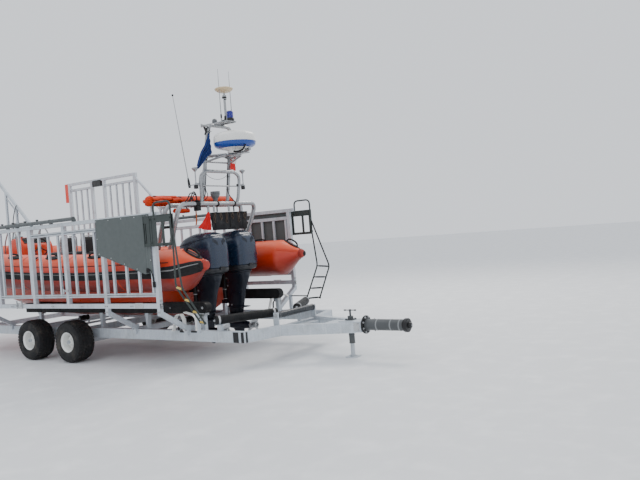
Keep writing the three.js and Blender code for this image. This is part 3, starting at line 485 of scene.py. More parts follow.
class Shape:
    """One mesh of skins, tubes, bars and turned forms, in metres from the stern post."""

    def __init__(self):
        self.mesh = bmesh.new()
        self.coat = 0

    def skin(self, rows, ring=True, loop=False, ends=True):
        verts = [[self.mesh.verts.new(p) for p in row] for row in rows]
        count = len(rows[0])
        for i in range(len(rows) if loop else len(rows) - 1):
            a = verts[i]
            b = verts[(i + 1) % len(rows)]
            for k in range(count if ring else count - 1):
                m = (k + 1) % count
                self.mesh.faces.new((a[k], a[m], b[m], b[k])).material_index = self.coat
        if ends and ring and not loop:
            for row in (verts[0][::-1], verts[-1]):
                self.mesh.faces.new(row).material_index = self.coat

    def sheet(self, rows, thick):
        """A cloth or leaf over rows of points, closed to a thin body."""
        grid = [[Vector(p) for p in row] for row in rows]
        tall, wide = len(grid), len(grid[0])
        top, under = [], []
        for i in range(tall):
            upper, lower = [], []
            for k in range(wide):
                down = grid[min(i + 1, tall - 1)][k] - grid[max(i - 1, 0)][k]
                over = grid[i][min(k + 1, wide - 1)] - grid[i][max(k - 1, 0)]
                lift = down.cross(over).normalized() * (thick / 2)
                upper.append(grid[i][k] + lift)
                lower.append(grid[i][k] - lift)
            top.append(upper)
            under.append(lower)
        self.skin([a + b[::-1] for a, b in zip(top, under)])

    def tube(self, path, radius, sides=14, loop=False, ends=True):
        pts = [Vector(p) for p in path]
        last = len(pts) - 1
        lift = None
        rows = []
        for i, p in enumerate(pts):
            before = pts[i - 1] if i or loop else p
            after = pts[(i + 1) % len(pts)] if i < last or loop else p
            along = (after - before).normalized()
            if lift is None:
                lift = Vector((0, 0, 1)) if abs(along.z) < 0.9 else Vector((1, 0, 0))
            across = lift.cross(along).normalized()
            lift = along.cross(across).normalized()
            r = radius(i / last) if callable(radius) else radius
            turns = (math.tau * k / sides for k in range(sides))
            rows.append([p + (across * math.cos(a) + lift * math.sin(a)) * r for a in turns])
        self.skin(rows, loop=loop, ends=ends)

    def strap(self, path, across, width, thick, loop=False):
        """A flat strip along path, its width along across."""
        pts = [Vector(p) for p in path]
        last = len(pts) - 1
        wide = Vector(across).normalized() * (width / 2)
        rows = []
        for i, p in enumerate(pts):
            before = pts[i - 1] if i or loop else p
            after = pts[(i + 1) % len(pts)] if i < last or loop else p
            lift = (after - before).cross(wide).normalized() * (thick / 2)
            rows.append([p - wide - lift, p + wide - lift, p + wide + lift, p - wide + lift])
        self.skin(rows, loop=loop)

    def turned(self, profile, centre, axis=(0, 0, 1), sides=32, loop=False):
        turn = Vector((0, 0, 1)).rotation_difference(Vector(axis).normalized())
        rows = []
        for r, h in profile:
            turns = (math.tau * (k + 0.5) / sides for k in range(sides))
            reach = max(r, 0.0004)
            ring = (Vector((reach * math.cos(a), reach * math.sin(a), h)) for a in turns)
            rows.append([Vector(centre) + turn @ p for p in ring])
        self.skin(rows, loop=loop)

    def rod(self, p, q, radius, sides=16):
        self.tube([p, q], radius, sides)

    def box(self, x0, x1, y0, y1, z0, z1):
        rows = [[(x, y0, z0), (x, y1, z0), (x, y1, z1), (x, y0, z1)] for x in (x0, x1)]
        self.skin(rows)

    def bar(self, p, q, width, height, up=(0, 0, 1)):
        along = (Vector(q) - Vector(p)).normalized()
        across = Vector(up).cross(along).normalized() * (width / 2)
        lift = along.cross(across).normalized() * (height / 2)
        corners = (-across - lift, across - lift, across + lift, -across + lift)
        self.skin([[Vector(end) + c for c in corners] for end in (p, q)])

    def plate(self, outline, flat, low, high):
        """A flat outline in two named axes, thick from low to high along the third."""
        third = "XYZ".index(({"X", "Y", "Z"} - set(flat)).pop())
        rows = []
        for level in (low, high):
            row = []
            for a, b in outline:
                p = Vector((0, 0, 0))
                p["XYZ".index(flat[0])] = a
                p["XYZ".index(flat[1])] = b
                p[third] = level
                row.append(p)
            rows.append(row)
        self.skin(rows)

    def bolt(self, place, axis, size=0.011):
        """A washer and a hexagon head, size its half width."""
        self.turned([(size * 1.6, 0), (size * 1.6, size * 0.25)], place, axis, 16)
        self.turned([(size, size * 0.2), (size, size), (size * 0.82, size * 1.15)], place, axis, 6)
        self.turned([(size * 0.5, size), (size * 0.5, size * 1.7)], place, axis, 10)

    def weld(self, path, size=0.005):
        """A rippled weld bead."""
        pts = [Vector(p) for p in path]
        length = sum((b - a).length for a, b in zip(pts, pts[1:]))
        fine = []
        for a, b in zip(pts, pts[1:]):
            steps = max(2, int((b - a).length / (size * 1.2)))
            fine += [a.lerp(b, k / steps) for k in range(steps)]
        ripples = length / (size * 2.6)
        self.tube(fine, lambda t: size * (1 + 0.22 * math.sin(math.tau * ripples * t)), 6)

    def done(self, name, body, coats, replaces=(), slot=None, bevel=0.0, segments=2, angle=35):
        bmesh.ops.recalc_face_normals(self.mesh, faces=self.mesh.faces)
        for vert in self.mesh.verts:
            vert.co = at(*vert.co)
        data = bpy.data.meshes.new(name)
        self.mesh.to_mesh(data)
        self.mesh.free()
        for coat in coats if isinstance(coats, (list, tuple)) else [coats]:
            data.materials.append(coat)
        data.polygons.foreach_set("use_smooth", [True] * len(data.polygons))
        obj = bpy.data.objects.new(name, data)
        bpy.context.scene.collection.objects.link(obj)
        if bevel:
            round_edges(obj, bevel, angle, segments)
        else:
            data.set_sharp_from_angle(angle=math.radians(angle))
        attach(obj, body)
        if replaces:
            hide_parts(*replaces)
        return obj


BOAT = "boat_on_carriage"


def make_floor():
    bpy.ops.mesh.primitive_plane_add(size=160, location=(0, 0, 0))
    floor = bpy.context.object
    floor.name = "floor"
    floor.data.materials.append(FLOOR)


# Outboards

ENGINE_Y = 0.333
ENGINE_X = 0.100
SHAFT_Z = -0.590
PAN_RINGS = ((0.300, -0.070, 0.550, 0.200), (0.308, -0.092, 0.575, 0.219), (0.325, -0.110, 0.590, 0.228),
             (0.360, -0.122, 0.599, 0.235), (0.374, -0.122, 0.599, 0.235), (0.380, -0.116, 0.593, 0.229))
COWL_RINGS = ((0.380, -0.112, 0.590, 0.226), (0.386, -0.116, 0.592, 0.229), (0.390, -0.126, 0.600, 0.238),
              (0.398, -0.128, 0.602, 0.240), (0.500, -0.129, 0.604, 0.242), (0.600, -0.128, 0.604, 0.243),
              (0.680, -0.124, 0.592, 0.241), (0.740, -0.116, 0.572, 0.236), (0.790, -0.103, 0.540, 0.227),
              (0.830, -0.087, 0.495, 0.213), (0.865, -0.062, 0.435, 0.192), (0.893, -0.028, 0.365, 0.163),
              (0.912, 0.015, 0.300, 0.128), (0.924, 0.060, 0.235, 0.088), (0.930, 0.110, 0.180, 0.040))
COWL_CURVE = eased(COWL_RINGS, 3)
SQUARENESS = 4.8


def loop_at(size, y, angle, grow=0.0, squareness=SQUARENESS):
    """A point on a rounded four-sided ring; angle 0 looks to the bow."""
    z, aft, fore, half = size
    c, s = math.cos(angle), math.sin(angle)
    reach = (abs(c) ** squareness + abs(s) ** squareness) ** (-1 / squareness)
    x = (aft + fore) / 2 + ((fore - aft) / 2 + grow) * reach * c
    return Vector((x + ENGINE_X, y + (half + grow) * reach * s, z))


def cowl_at(height, y, angle, grow=0.0):
    rings = COWL_CURVE
    for low, high in zip(rings, rings[1:]):
        if height <= high[0]:
            t = (height - low[0]) / max(high[0] - low[0], 1e-6)
            return loop_at(low.lerp(high, t), y, angle, grow)
    return loop_at(rings[-1], y, angle, grow)


def cap_edge(angle):
    """Height of the dark top cover's lower edge round the cowl: high astern, low at the bow end."""
    forward = (1 + math.cos(angle)) / 2
    return 0.862 - 0.135 * forward ** 1.3 - 0.02 * math.sin(angle) ** 2


def make_cowl(name, y):
    turns = [math.tau * k / 56 for k in range(56)]
    shell = Shape()
    shell.skin([[loop_at(ring, y, a) for a in turns] for ring in COWL_CURVE])
    shell.coat = 1
    shell.skin([[loop_at(ring, y, a) for a in turns] for ring in eased(PAN_RINGS, 3)])
    for height in (0.334, 0.347):
        shell.tube([loop_at((height, -0.116, 0.593, 0.231), y, a) for a in turns], 0.0022, 6, loop=True)
    shell.coat = 2
    rows = []
    for step, grow in ((0, 0.0), (0, 0.005), (0.04, 0.0065), (0.2, 0.0062), (0.4, 0.006), (0.6, 0.006),
                       (0.8, 0.005), (0.93, 0.004), (1, 0.002)):
        rows.append([cowl_at(cap_edge(a) + step * (0.9315 - cap_edge(a)), y, a, grow) for a in turns])
    lifted = [[p + Vector((0, 0, 0.004 * min(i, 3) / 3)) for p in row] for i, row in enumerate(rows)]
    shell.skin(lifted)
    body = f"engine_{name}"
    shell.done(f"cowl_shell_{name}", body, [COWL, PAN, COWL_DARK], [f"cowl_{name}"], "navy_gloss", angle=50)

    trim = Shape()
    for side in (-1, 1):
        sweep = eased([(0.66, 35), (0.62, 55), (0.60, 80), (0.615, 105), (0.66, 128), (0.73, 142)], 6)
        trim.tube([cowl_at(h, y, side * math.radians(deg), 0.001) for h, deg in sweep], 0.0035, 8)
        sweep = eased([(0.47, 28), (0.455, 60), (0.46, 95), (0.49, 125), (0.55, 146)], 6)
        trim.tube([cowl_at(h, y, side * math.radians(deg), 0.0005) for h, deg in sweep], 0.0028, 8)
    trim.done(f"cowl_crease_{name}", body, COWL, slot="navy_gloss")

    fittings = Shape()
    x = ENGINE_X
    fittings.box(x - 0.142, x - 0.118, y - 0.055, y + 0.055, 0.352, 0.384)
    fittings.bar((x - 0.135, y - 0.04, 0.392), (x - 0.135, y + 0.04, 0.392), 0.012, 0.012)
    for side in (-1, 1):
        fittings.box(x + 0.20, x + 0.29, y + side * 0.226, y + side * 0.241, 0.340, 0.372)
        fittings.bolt((x + 0.05, y + side * 0.236, 0.352), (0, side, 0), 0.008)
        fittings.bolt((x + 0.45, y + side * 0.232, 0.352), (0, side, 0), 0.008)
        for k in range(5):
            turn = side * math.radians(150 + 4.5 * k)
            fittings.tube([cowl_at(0.775 - 0.012 * k, y, turn, 0.001),
                           cowl_at(0.835 - 0.012 * k, y, turn, 0.001)], 0.0045, 8)
    fittings.turned([(0.05, 0), (0.05, 0.012), (0.036, 0.02), (0.034, 0.07), (0.04, 0.075), (0.04, 0.09)],
                    (x + 0.588, y + 0.10, 0.42), (1, 0, -0.1), 20)
    fittings.turned([(0.008, 0), (0.008, 0.014), (0.004, 0.015)], (x + 0.30, y - 0.231, 0.335), (0, -1, 0),
                    12)
    fittings.done(f"cowl_fittings_{name}", body, BLACK, slot="black_metal", bevel=0.0015)


LEG_RINGS = ((0.2990, 0.000, 0.470, 0.150), (0.262, -0.060, 0.415, 0.148), (0.215, -0.056, 0.415, 0.128),
             (0.150, -0.036, 0.415, 0.104), (0.080, -0.006, 0.415, 0.088), (0.000, 0.028, 0.415, 0.076),
             (-0.100, 0.055, 0.415, 0.067), (-0.200, 0.076, 0.414, 0.059), (-0.285, 0.095, 0.410, 0.054),
             (-0.380, 0.122, 0.400, 0.048), (-0.450, 0.134, 0.392, 0.038), (-0.520, 0.137, 0.384, 0.032),
             (-0.600, 0.136, 0.376, 0.028))


def make_leg(name, y):
    x = ENGINE_X
    turns = [math.tau * k / 32 for k in range(32)]
    leg = Shape()
    leg.skin([[loop_at(ring, y, a, 0, 2.4) for a in turns] for ring in eased(LEG_RINGS[1:], 3)])
    leg.skin([[loop_at(ring, y, a, 0, 3) for a in turns] for ring in (
        (0.262, -0.060, 0.415, 0.148), (0.272, -0.072, 0.430, 0.160), (0.2995, -0.060, 0.440, 0.165))])
    leg.box(x + 0.41, x + 0.53, y - 0.048, y + 0.048, 0.262, 0.2995)
    leg.box(x + 0.405, x + 0.525, y - 0.048, y + 0.048, -0.240, -0.182)
    nose = [(0.001, 0.510)]
    torpedo = eased([(0.006, -0.004), (0.026, 0.018), (0.046, 0.060), (0.059, 0.120), (0.063, 0.200),
                     (0.063, 0.340), (0.060, 0.430), (0.054, 0.490), (0.050, 0.509)], 4)
    leg.turned(torpedo + nose, (x + 0.490, y, SHAFT_Z), (-1, 0, 0), 28)
    skeg = ((0.115, -0.630), (0.128, -0.700), (0.142, -0.768), (0.160, -0.772), (0.195, -0.768),
            (0.250, -0.745), (0.310, -0.705), (0.350, -0.645))
    for half, inset in ((0.008, 0.0), (0.011, 0.010)):
        outline = [(x + a + (inset if a < 0.2 else -inset), min(b + inset, -0.63)) for a, b in skeg]
        leg.plate(outline, "XZ", y - half, y + half)
    plate_run = ((-0.110, 0.035), (-0.100, 0.062), (0.000, 0.112), (0.080, 0.142), (0.200, 0.138),
                 (0.300, 0.118), (0.380, 0.075), (0.430, 0.028))
    guard_run = ((0.000, 0.050), (0.020, 0.068), (0.120, 0.104), (0.240, 0.100), (0.340, 0.084),
                 (0.420, 0.028))
    for run, low, high in ((plate_run, -0.412, -0.397), (guard_run, -0.301, -0.290)):
        edge = eased(run, 4)
        outline = [(x + p[0], y + p[1]) for p in edge] + [(x + p[0], y - p[1]) for p in reversed(edge)]
        leg.plate(outline, "XY", low, high)
    leg.done(f"leg_body_{name}", f"engine_{name}", LEG, [f"leg_{name}"], "black_metal", 0.003, 3, 40)

    fittings = Shape()
    for side in (-1, 1):
        for k in range(5):
            low = Vector((x + 0.27 + 0.016 * k, y + side * 0.0445, -0.505))
            fittings.bar(low, low + Vector((-0.004, 0, 0.060)), 0.006, 0.006, (0, 1, 0))
        for z in (0.17, 0.05):
            fittings.bolt((x + 0.33, y + side * (0.086 + 0.14 * (z - 0.05)), z), (0, side, 0), 0.010)
        fittings.bolt((x + 0.30, y + side * 0.056, -0.262), (0, side, 0), 0.009)
    fittings.turned([(0.016, 0), (0.018, 0.010), (0.018, 0.045)], (x + 0.07, y, -0.458), (0, 0, 1), 16)
    fittings.plate([(x - 0.02, -0.470), (x + 0.07, -0.480), (x + 0.085, -0.425), (x + 0.04, -0.415)], "XZ",
                   y - 0.004, y + 0.004)
    fittings.tube([(x + 0.03, y - 0.006, 0.12), (x + 0.02, y - 0.006, 0.09)], 0.012, 14)
    fittings.done(f"leg_fittings_{name}", f"engine_{name}", STEEL, slot="steel_shaft", bevel=0.001)


def make_prop(name, y):
    x = ENGINE_X
    prop = Shape()
    hub = eased([(0.051, 0), (0.052, 0.02), (0.050, 0.07), (0.046, 0.11), (0.044, 0.125), (0.047, 0.1292)], 3)
    prop.turned(hub + [(0.036, 0.1292), (0.036, 0.09)], (x - 0.0208, y, SHAFT_Z),
                (-1, 0, 0), 32)
    prop.turned([(0.014, 0.05), (0.014, 0.115), (0.010, 0.12)], (x - 0.0208, y, SHAFT_Z), (-1, 0, 0), 6)
    for blade in range(3):
        turn = Matrix.Rotation(math.tau * blade / 3, 3, "X")
        rows = []
        for k in range(11):
            t = k / 10
            reach = 0.044 + 0.113 * t
            chord = 0.030 + 0.040 * math.sin(math.pi * min(1, 0.18 + 0.74 * t)) * (1 - t ** 5)
            chord *= math.sqrt(max(0.05, 1 - max(0, (t - 0.72) / 0.28) ** 2))
            pitch = math.radians(62 - 34 * t)
            rake = -0.012 * t * t
            row = []
            for u in [math.tau * m / 14 for m in range(14)]:
                along = chord * math.cos(u)
                thick = (0.0075 - 0.0055 * t) * math.sin(u) * (1 - 0.3 * math.cos(u))
                skew = math.asin(max(-1, min(1, along * math.sin(pitch) / reach))) - 0.30 * t * t
                off = along * math.cos(pitch) + thick * math.sin(pitch)
                place = Vector((off + rake, reach * math.sin(skew), reach * math.cos(skew)))
                row.append(turn @ place + Vector((x - 0.085, y, SHAFT_Z)))
            rows.append(row)
        prop.skin(rows)
    prop.done(f"propeller_blades_{name}", f"propeller_{name}", STEEL, [f"prop_{name}"], "steel_shaft",
              angle=50)


def make_bracket_fittings(name, y):
    bolts = Shape()
    for off in (0.132, -0.132):
        side = 1 if off > 0 else -1
        bolts.bolt((0.700, y + off, 0.262), (0, side, 0), 0.016)
        for z in (0.10, 0.17):
            bolts.bolt((0.760, y + off, z), (0, side, 0), 0.010)
    for off in (-0.075, 0.075):
        for z in (0.115, 0.165):
            bolts.bolt((0.807, y + off, z), (1, 0, 0), 0.011)
    bolts.done(f"bracket_bolts_{name}", BOAT, STEEL, slot="steel_shaft")
    collars = Shape()
    for z in (-0.172, -0.02, 0.246):
        collars.turned([(0.043, 0), (0.047, 0.003), (0.047, 0.012), (0.043, 0.015)], (0.570, y, z), (0, 0, 1),
                       28)
    for off in (-0.094, 0.080):
        collars.turned([(0.0245, 0), (0.030, 0.003), (0.030, 0.011), (0.0245, 0.014)],
                       (0.700, y + off, 0.262), (0, 1, 0), 24)
    collars.done(f"swivel_collars_{name}", f"tilt_unit_{name}", STEEL, slot="steel_shaft")


def make_outboards():
    for name, side in SIDES:
        y = side * ENGINE_Y
        make_cowl(name, y)
        make_leg(name, y)
        make_prop(name, y)
        make_bracket_fittings(name, y)


# Collar and its rubbing strake

TUBE_R = 0.300
TUBE_Y = 1.125
CONE_BASE_X = -0.100
CONE_TIP_X = -0.440
COLLAR_RUN = ((2.000, TUBE_Y, 0.430, 0.300), (3.400, TUBE_Y, 0.480, 0.300), (4.700, 1.122, 0.560, 0.300),
              (5.500, 1.078, 0.622, 0.297), (6.150, 0.958, 0.680, 0.290), (6.700, 0.752, 0.730, 0.283),
              (7.120, 0.505, 0.768, 0.277), (7.400, 0.250, 0.792, 0.272))
COLLAR_NOSE = (7.580, 0.0, 0.800, 0.270)
CONE_RUN = ((CONE_TIP_X, 0.478, 0.062), (-0.400, 0.4715, 0.091), (-0.300, 0.454, 0.160),
            (-0.200, 0.437, 0.228),
            (-0.150, 0.429, 0.260), (-0.122, 0.4245, 0.277), (CONE_BASE_X, 0.421, 0.288),
            (-0.070, 0.420, 0.296), (-0.030, 0.420, TUBE_R))
# Share of the tube's radius at which its skin is laid
TUBE_SKIN = 0.992
FLAT = math.cos(math.pi / 16)


def collar_line():
    """Centre line of the tube with its radius, from the port cone round the bow to the other cone."""
    cone = [Vector((x, TUBE_Y, z, r)) for x, z, r in CONE_RUN]
    aft = [Vector((0.35 + 0.4 * k, TUBE_Y, 0.420 + 0.00476 * (0.35 + 0.4 * k), TUBE_R)) for k in range(4)]
    port = cone + aft + eased(COLLAR_RUN + (COLLAR_NOSE,), 5)
    stbd = [Vector((p.x, -p.y, p.z, p.w)) for p in reversed(port[:-1])]
    return port + stbd


LINE = collar_line()


def collar_frame(i):
    """Middle, radius and outward direction of the tube at a place on its line."""
    here = LINE[i]
    run = LINE[min(i + 1, len(LINE) - 1)] - LINE[max(i - 1, 0)]
    if here.x < 0:
        run = Vector((1 if here.y > 0 else -1, 0, 0, 0))
    flat = Vector((run.x, run.y, 0)).normalized()
    return Vector(here[:3]), here.w, Vector((-flat.y, flat.x, 0))


def station(x):
    """Index on the port side of the collar's line that is nearest to x."""
    half = LINE[:len(LINE) // 2]
    return min(range(len(half)), key=lambda i: abs(half[i].x - x))


def collar_point(x, angle, grow=0.0, side=1):
    """A point of the tube's skin at x: angle 0 is outboard, 90 on top."""
    half = LINE[:len(LINE) // 2 + 1]
    for a, b in zip(half, half[1:]):
        if a.x <= x <= b.x:
            here = a.lerp(b, (x - a.x) / (b.x - a.x))
            run = (b - a) if x > 0 else Vector((1, 0, 0, 0))
            break
    flat = Vector((run.x, run.y, 0)).normalized()
    out = Vector((-flat.y, flat.x, 0))
    turn = math.radians(angle)
    spoke = out * math.cos(turn) + Vector((0, 0, math.sin(turn)))
    p = Vector(here[:3]) + (here.w * TUBE_SKIN + grow) * spoke
    return Vector((p.x, side * p.y, p.z))


def make_collar():
    turns = [math.tau * k / 56 for k in range(56)]
    tube = Shape()
    rows = []
    for i in range(len(LINE)):
        mid, r, out = collar_frame(i)
        up = Vector((0, 0, 1))
        rows.append([mid + (out * math.cos(a) + up * math.sin(a)) * r * TUBE_SKIN for a in turns])
    tube.skin(rows)
    tube.done("collar_tube", BOAT, TUBE, ["collar"], "orange_tube", angle=60)

    seams = Shape()
    around = [360 * k / 56 for k in range(56)]
    for side in (-1, 1):
        for x, width in ((1.050, 0.045), (2.300, 0.045), (3.550, 0.045), (4.800, 0.045), (6.000, 0.040)):
            rows = []
            for off, grow in ((0, -0.002), (0.002, 0.0022), (width - 0.002, 0.0022), (width, -0.002)):
                rows.append([collar_point(x + off, a, grow, side) for a in around])
            seams.skin(rows, ends=False)
        for angle, start in ((148, -0.110), (78, -0.110)):
            run = [collar_point(start - 0.30 * k / 12, angle, 0.0035, side) for k in range(13)]
            seams.strap(run,
                        Vector((0, math.sin(math.radians(angle)) * -side, math.cos(math.radians(angle)))),
                        0.034, 0.006)
        for k in range(2):
            angle = 96 + 168 * k
            run = [collar_point(0.2 + 0.25 * m, angle, 0.002, side) for m in range(20)]
            seams.strap(run, (0, 1, 0), 0.040, 0.004)
    seams.done("collar_seams", BOAT, TUBE_SEAM, slot="orange_tube", bevel=0.001)

    line = Shape()
    for side in (-1, 1):
        run = [collar_point(-0.02 + 0.2 * m, 24.5, 0.003, side) for m in range(30)]
        line.strap(run, (0, 0.42, 0.9), 0.013, 0.005)
    line.done("collar_line", BOAT, RUBBER, slot="black_rubber", bevel=0.001)


def oval(middle, along, across, length, width, steps=28):
    return [middle + along * (length / 2 * math.cos(math.tau * k / steps))
            + across * (width / 2 * math.sin(math.tau * k / steps)) for k in range(steps)]


def out_of_tube(x, point, side):
    """The direction from the tube's middle to a point on its skin."""
    centre, _, _ = collar_frame(station(x))
    return (point - Vector((x, side * centre.y, centre.z))).normalized()


def make_collar_fittings():
    """Grab handles, lifting patches and valves, each laid on the tube's skin."""
    black, patch, pale = Shape(), Shape(), Shape()
    for side in (-1, 1):
        for x, span, angle in ((-0.255, 0.24, 84), (0.55, 0.30, 62), (1.70, 0.30, 62), (2.80, 0.30, 62),
                               (3.90, 0.30, 62), (5.00, 0.30, 62)):
            ends = [collar_point(x - span / 2, angle, 0, side), collar_point(x + span / 2, angle, 0, side)]
            middle = collar_point(x, angle, 0.002, side)
            along = (ends[1] - ends[0]).normalized()
            lift = out_of_tube(x, middle, side)
            across = lift.cross(along).normalized()
            lift = along.cross(across).normalized()
            rows = []
            for grow, share in ((-0.003, 1.0), (0.003, 0.99), (0.005, 0.94)):
                rows.append([p + lift * (grow - 0.2 * ((p - middle).dot(across)) ** 2 / TUBE_R)
                             for p in oval(middle, along, across, (span + 0.12) * share, 0.115 * share)])
            black.skin(rows)
            loop = [middle - along * (span / 2) + lift * 0.004, middle - along * (span * 0.42) + lift * 0.045,
                    middle - along * (span * 0.22) + lift * 0.062, middle + lift * 0.066,
                    middle + along * (span * 0.22) + lift * 0.062,
                    middle + along * (span * 0.42) + lift * 0.045, middle + along * (span / 2) + lift * 0.004]
            black.strap(eased(loop, 5), across, 0.034, 0.007)
            black.tube(eased(loop[1:-1], 5), 0.014, 12)
            # A pale ring on each handle's patch, under the loop.
            edge = [p + lift * 0.0065 for p in oval(middle, along, across, span * 0.8, 0.045)]
            pale.tube(edge, 0.0028, 6, loop=True)
        for x, angle in ((1.45, 58), (3.25, 58)):
            middle = collar_point(x, angle, 0.001, side)
            lift = out_of_tube(x, middle, side)
            black.turned([(0.040, -0.002), (0.040, 0.006), (0.030, 0.009), (0.026, 0.016), (0.012, 0.017)],
                         middle, lift, 28)
            along = Vector((1, 0, 0))
            across = lift.cross(along).normalized()
            patch.skin([[p + lift * g for p in oval(middle, along, across, 0.20 * s, 0.15 * s)]
                        for g, s in ((-0.004, 1.0), (0.003, 0.99), (0.004, 0.95))])
    black.done("collar_handles", BOAT, RUBBER, slot="black_rubber", angle=40)
    patch.done("collar_patches", BOAT, TUBE_SEAM, slot="orange_tube", angle=40)
    pale.done("handle_pale_ring", BOAT, RUBBER_PALE, slot="grey_plastic")


STRAKE_SWELL = ((CONE_TIP_X, 0.85, 0.85), (-0.400, 1.20, 1.30), (-0.300, 1.50, 1.40), (-0.100, 1.72, 1.15),
                (0.350, 1.25, 1.0), (0.750, 1.0, 1.0))


def strake_spot(i, a, h):
    """A point of the rubbing strake: it grows wider over the cone and its back follows the tube there."""
    mid, r, out = collar_frame(i)
    up, down = 1.0, 1.0
    for (x0, up0, down0), (x1, up1, down1) in zip(STRAKE_SWELL, STRAKE_SWELL[1:]):
        if x0 <= mid.x <= x1:
            t = (mid.x - x0) / (x1 - x0)
            up, down = up0 + (up1 - up0) * t, down0 + (down1 - down0) * t
    rise = h * (up if h > 0 else down)
    hollow = r - math.sqrt(max(r * r - rise * rise, 0.16 * r * r))
    share = max(0.0, min(1.0, (0.350 - mid.x) / 0.380))
    drop = -0.028 * min(1.0, max(0.0, (mid.x - CONE_TIP_X) / 0.34))
    return mid + out * (r * FLAT - 0.006 - share * hollow + a) + Vector((0, 0, drop + rise))


def make_strake():
    section = ((0.000, -0.062), (0.011, -0.062), (0.018, -0.056), (0.021, -0.046), (0.0215, -0.030),
               (0.0185, -0.026), (0.0185, -0.021), (0.0215, -0.017), (0.0215, 0.004), (0.0185, 0.008),
               (0.0185, 0.013), (0.0215, 0.017), (0.0225, 0.020), (0.0225, 0.034), (0.0215, 0.037),
               (0.020, 0.044), (0.018, 0.056), (0.011, 0.062), (0.000, 0.062))
    band = Shape()
    band.skin([[strake_spot(i, a + 0.006 * (a > 0), h) for a, h in section] for i in range(len(LINE))])
    rib = Shape()
    # Painted highlight: the raised rib along the strake is coloured pale grey for the glare along it, on
    # black rubber.
    edges = ((0.0215, 0.0205), (0.0290, 0.0215), (0.0290, 0.0315), (0.0215, 0.0325))
    rib.skin([[strake_spot(i, a, h) for a, h in edges] for i in range(len(LINE))])
    tip = Shape()
    for _, side in SIDES:
        nub = eased([(0.050, -0.020), (0.053, 0.0), (0.051, 0.014), (0.041, 0.028), (0.024, 0.037),
                     (0.003, 0.040)], 3)
        band.turned(nub, (-0.450 + 0.014 * side, side * (1.169 + 0.015 * side), 0.468),
                    (-1, 0, 0), 32)
        dome = eased([(0.069, 0.018), (0.067, 0.032), (0.058, 0.044), (0.040, 0.051), (0.003, 0.0535)], 4)
        tip.turned([(0.070, -0.014), (0.0765, -0.004), (0.077, 0.004),
                    (0.0755, 0.014)] + dome,
                   (CONE_TIP_X, side * TUBE_Y, 0.474), (-1, 0, 0), 40)
        for k in range(2):
            tip.turned([(0.0765, -0.003 + 0.009 * k), (0.0785, 0.009 * k), (0.0765, 0.003 + 0.009 * k)],
                       (CONE_TIP_X, side * TUBE_Y, 0.474), (-1, 0, 0), 40, loop=True)
    band.done("strake_band", BOAT, RUBBER, ["strake"], "black_rubber", angle=40)
    rib.done("strake_rib_highlight", BOAT, RUBBER_PALE, slot="grey_plastic", angle=40)
    # The caps take the darker orange as painted shade.
    tip.done("cone_caps", BOAT, SHADED_CONE_CAP, slot="orange_tube", angle=40)


# Arch, mast and what they carry

ARCH_TOP = 1.368
ARCH_R = 0.034
ARCH_SIDE = 0.860
HOOP_AFT = 0.230
HOOP_FORE = 0.520
CROSS_RODS = (-0.560, -0.290, 0.290, 0.560)
SIDE_ROD_Y = 0.855
SIDE_ROD_Z = 1.048
DECK_Z = 0.300
PLATFORM_Z = 2.590
MAST_FOOT_Z = ARCH_TOP + 0.018


def hoop_path(x_foot, x_top, top):
    half = [(x_foot, 0.775, DECK_Z + 0.001), (x_top + (x_foot - x_top) * 0.25, ARCH_SIDE, top - 0.320),
            (x_top, ARCH_SIDE, top)]
    return rounded(half + [(x, -y, z) for x, y, z in reversed(half)], 0.140, 12)


